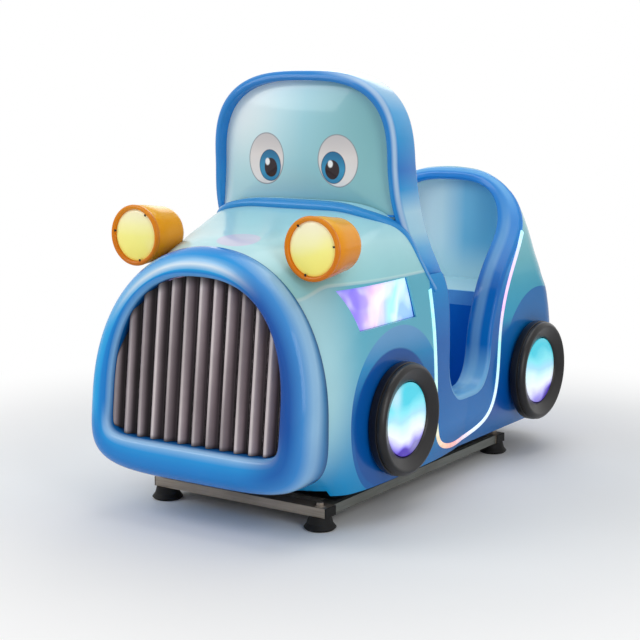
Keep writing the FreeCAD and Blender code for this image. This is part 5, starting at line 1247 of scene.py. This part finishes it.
def make_scuttle():
    """Rounded blue sill under the windshield that runs down the front edges of the hoop's legs."""
    across = [(x, SCUTTLE_Y, hood_top(x, SCUTTLE_Y)) for x in (0.0, 0.08, 0.16, 0.235)]
    down = [(level_y(HOOP_EDGE, z) + 0.003, z) for z in (0.765, 0.715, 0.655, 0.595)]
    down = [(side_half(y, z), y, z) for y, z in down]
    half = spline(across + down, 90)
    line = both_sides(half)
    way = directions(line)
    rows = []
    for place, along in zip(line, way):
        up = np.array((place[0], 0.0, place[2] - SHOULDER_Z))
        up = up / np.linalg.norm(up)
        aside = np.cross(along, up)
        share = min(abs(place[0]) / 0.345, 1.0)
        half_width = 0.029 - 0.019 * share ** 3
        rise = 0.017 - 0.014 * share ** 3
        rows.append([place + aside * half_width * math.cos(t) + up * (rise * math.sin(t) - 0.001)
                     for t in np.radians(np.linspace(-40, 220, 15))])
    scuttle = grid("scuttle", rows, ring=True, caps=True)
    point_values(scuttle, "front", [1.0] * len(scuttle.data.vertices))
    return add_piece(scuttle, "trim_blue", angle=50)


def hood_top(x, y):
    """Height of the hood above a point."""
    half, bottom, top, centre, high, low = body_section(y)
    share = min(abs(x) / half, 0.999)
    return centre + (top - centre) * (1 - share ** high) ** (1 / high)


def make_windshield():
    """Slightly bulged panel in the hoop."""
    side = hoop_side(HOOP_BAND + 0.0003)
    side = side[side[:, 1] > WINDSHIELD_FOOT_Z]
    outline = both_sides(side)
    outline = np.vstack([outline, np.linspace(outline[-1], outline[0], 24)[1:-1]])
    centre = np.array((0.0, 0.985))
    rows, edges = [], []
    shares = np.linspace(0.02, 1.0, 22)
    for share in shares:
        points = centre + share * (outline - centre)
        bulge = WINDSHIELD_BULGE * (1 - share ** 2.4)
        rows.append([(x, WINDSHIELD_Y + 0.010 - bulge, z) for x, z in points])
        edges += [share] * len(points)
    panel = grid("windshield_skin", rows, ring=True)
    point_values(panel, "edge", edges)
    with editing(panel) as bm:
        bm.verts.ensure_lookup_table()
        bm.faces.new(bm.verts[:len(outline)])
        bmesh.ops.recalc_face_normals(bm, faces=bm.faces)
    panel = thicken(panel, PANEL_WALL)
    return add_piece(panel, "windshield_paint", stands_for=("windshield_panel",), angle=50)


# ---- light strips and small trim
def bead(name, line, half_width, rise, sink):
    """Half-round bead that follows a side line on the right side of the body."""
    way = directions(line)
    rows = []
    for (y, z), (dy, dz) in zip(line, way):
        row = []
        for turn in np.radians(np.linspace(0, 180, 9)):
            shift = half_width * math.cos(turn)
            row.append(on_side(y - dz * shift, z + dy * shift, rise * math.sin(turn)))
        row.append(on_side(y + dz * half_width, z - dy * half_width, -sink))
        row.append(on_side(y - dz * half_width, z + dy * half_width, -sink))
        rows.append(row)
    return grid(name, rows, ring=True, caps=True), len(rows[0])


def make_led_strips():
    line = spline(LED_LINE, 150)
    strip, width = bead("light_strips", line, STRIP_HALF, STRIP_RISE, STRIP_SINK)
    point_values(strip, "along", np.repeat(np.linspace(0.0, 1.0, len(line)), width))
    return add_piece(mirrored(strip, "light_strips"), "led_strip", stands_for=("led_strips",), angle=60)


# ---- everything
def dress_nodes():
    for name, obj in frame["nodes"].items():
        dress(obj, NODE_SLOT[name])


def aimed(name, data, place, aim):
    """A camera or lamp at a place, turned to look at the aim."""
    obj = bpy.data.objects.new(name, data)
    bpy.context.scene.collection.objects.link(obj)
    obj.location = place
    obj.rotation_euler = (Vector(aim) - Vector(place)).to_track_quat("-Z", "Y").to_euler()
    return obj


def make_camera():
    data = bpy.data.cameras.new("camera")
    data.lens = LENS_MM
    data.sensor_width = SENSOR_MM
    bpy.context.scene.camera = aimed("camera", data, CAMERA_AT, CAMERA_AIM)


def area_light(name, place, aim, size, power):
    data = bpy.data.lights.new(name, "AREA")
    data.shape = "RECTANGLE"
    data.size, data.size_y = size
    data.energy = power
    aimed(name, data, place, aim)


def make_lights():
    area_light("key", (-2.6, -3.2, 3.2), (0, -0.2, 0.5), (2.4, 2.4), 60)
    area_light("fill", (3.6, -2.2, 1.8), (0, -0.2, 0.5), (1.2, 3.0), 34)
    area_light("top", (0.3, 0.4, 4.0), (0, 0, 0.5), (3.0, 3.0), 40)
    area_light("back", (-1.8, 3.4, 2.4), (0, 0.2, 0.5), (2.5, 2.0), 22)


def make_world():
    """Soft pale light, seen as plain white by the camera and in mirrors."""
    world = bpy.data.worlds.new("studio")
    bpy.context.scene.world = world
    world.use_nodes = True
    tree = world.node_tree
    tree.nodes.clear()
    path = tree.nodes.new("ShaderNodeLightPath")
    seen = path.outputs["Is Camera Ray"]
    for ray in ("Is Transmission Ray", "Is Glossy Ray"):
        either = tree.nodes.new("ShaderNodeMath")
        either.operation = "MAXIMUM"
        tree.links.new(seen, either.inputs[0])
        tree.links.new(path.outputs[ray], either.inputs[1])
        seen = either.outputs[0]
    mix = tree.nodes.new("ShaderNodeMixShader")
    tree.links.new(seen, mix.inputs[0])
    for place, (colour, strength) in enumerate(WORLD_LIGHTS, 1):
        background = tree.nodes.new("ShaderNodeBackground")
        background.inputs[0].default_value = colour
        background.inputs[1].default_value = strength
        tree.links.new(background.outputs[0], mix.inputs[place])
    out = tree.nodes.new("ShaderNodeOutputWorld")
    tree.links.new(mix.outputs[0], out.inputs[0])


def make_floor():
    """Pale floor that takes the object's shadow near it and fades to white far off."""
    count = 96
    turn = 2 * np.pi * np.arange(count) / count
    rows = [[(r * math.cos(t), r * math.sin(t), 0.0) for t in turn] for r in FLOOR_RINGS]
    faces = quads(len(rows), count, ring=True) + [tuple(range(count))]
    floor = make_object("floor", np.array(rows).reshape(-1, 3), faces)
    paint = Paint("floor", rough=0.8, specular=0.2)
    far = paint.math("SQRT", paint.plus(paint.times(paint.x, paint.x),
                                        paint.times(paint.y, paint.y)))
    fade = paint.step(far, *FLOOR_FADE)
    paint.finish(paint.mix(paint.noise(3.0), "#FAFAFA", "#FDFDFD"))
    glow = paint.add("ShaderNodeEmission")
    glow.inputs[0].default_value = (1.0, 1.0, 1.0, 1.0)
    glow.inputs[1].default_value = 1.0
    mix = paint.add("ShaderNodeMixShader")
    path = paint.add("ShaderNodeLightPath")
    seen = paint.times(fade, path.outputs["Is Camera Ray"])
    paint.put(seen, mix.inputs[0])
    paint.put(paint.shader.outputs[0], mix.inputs[1])
    paint.put(glow.outputs[0], mix.inputs[2])
    paint.put(mix.outputs[0], paint.tree.nodes["Material Output"].inputs["Surface"])
    floor.data.materials.append(paint.material)


make_camera()
make_lights()
make_world()
make_floor()
dress_nodes()
make_nose()
make_grille()
make_lamps()
make_lamp_lenses()
make_tyres()
make_wheel_lenses()
make_front_skin()
make_rear_skin()
make_rim()
make_hoop()
make_scuttle()
make_windshield()
make_led_strips()

bpy.context.scene.view_settings.view_transform = "Standard"
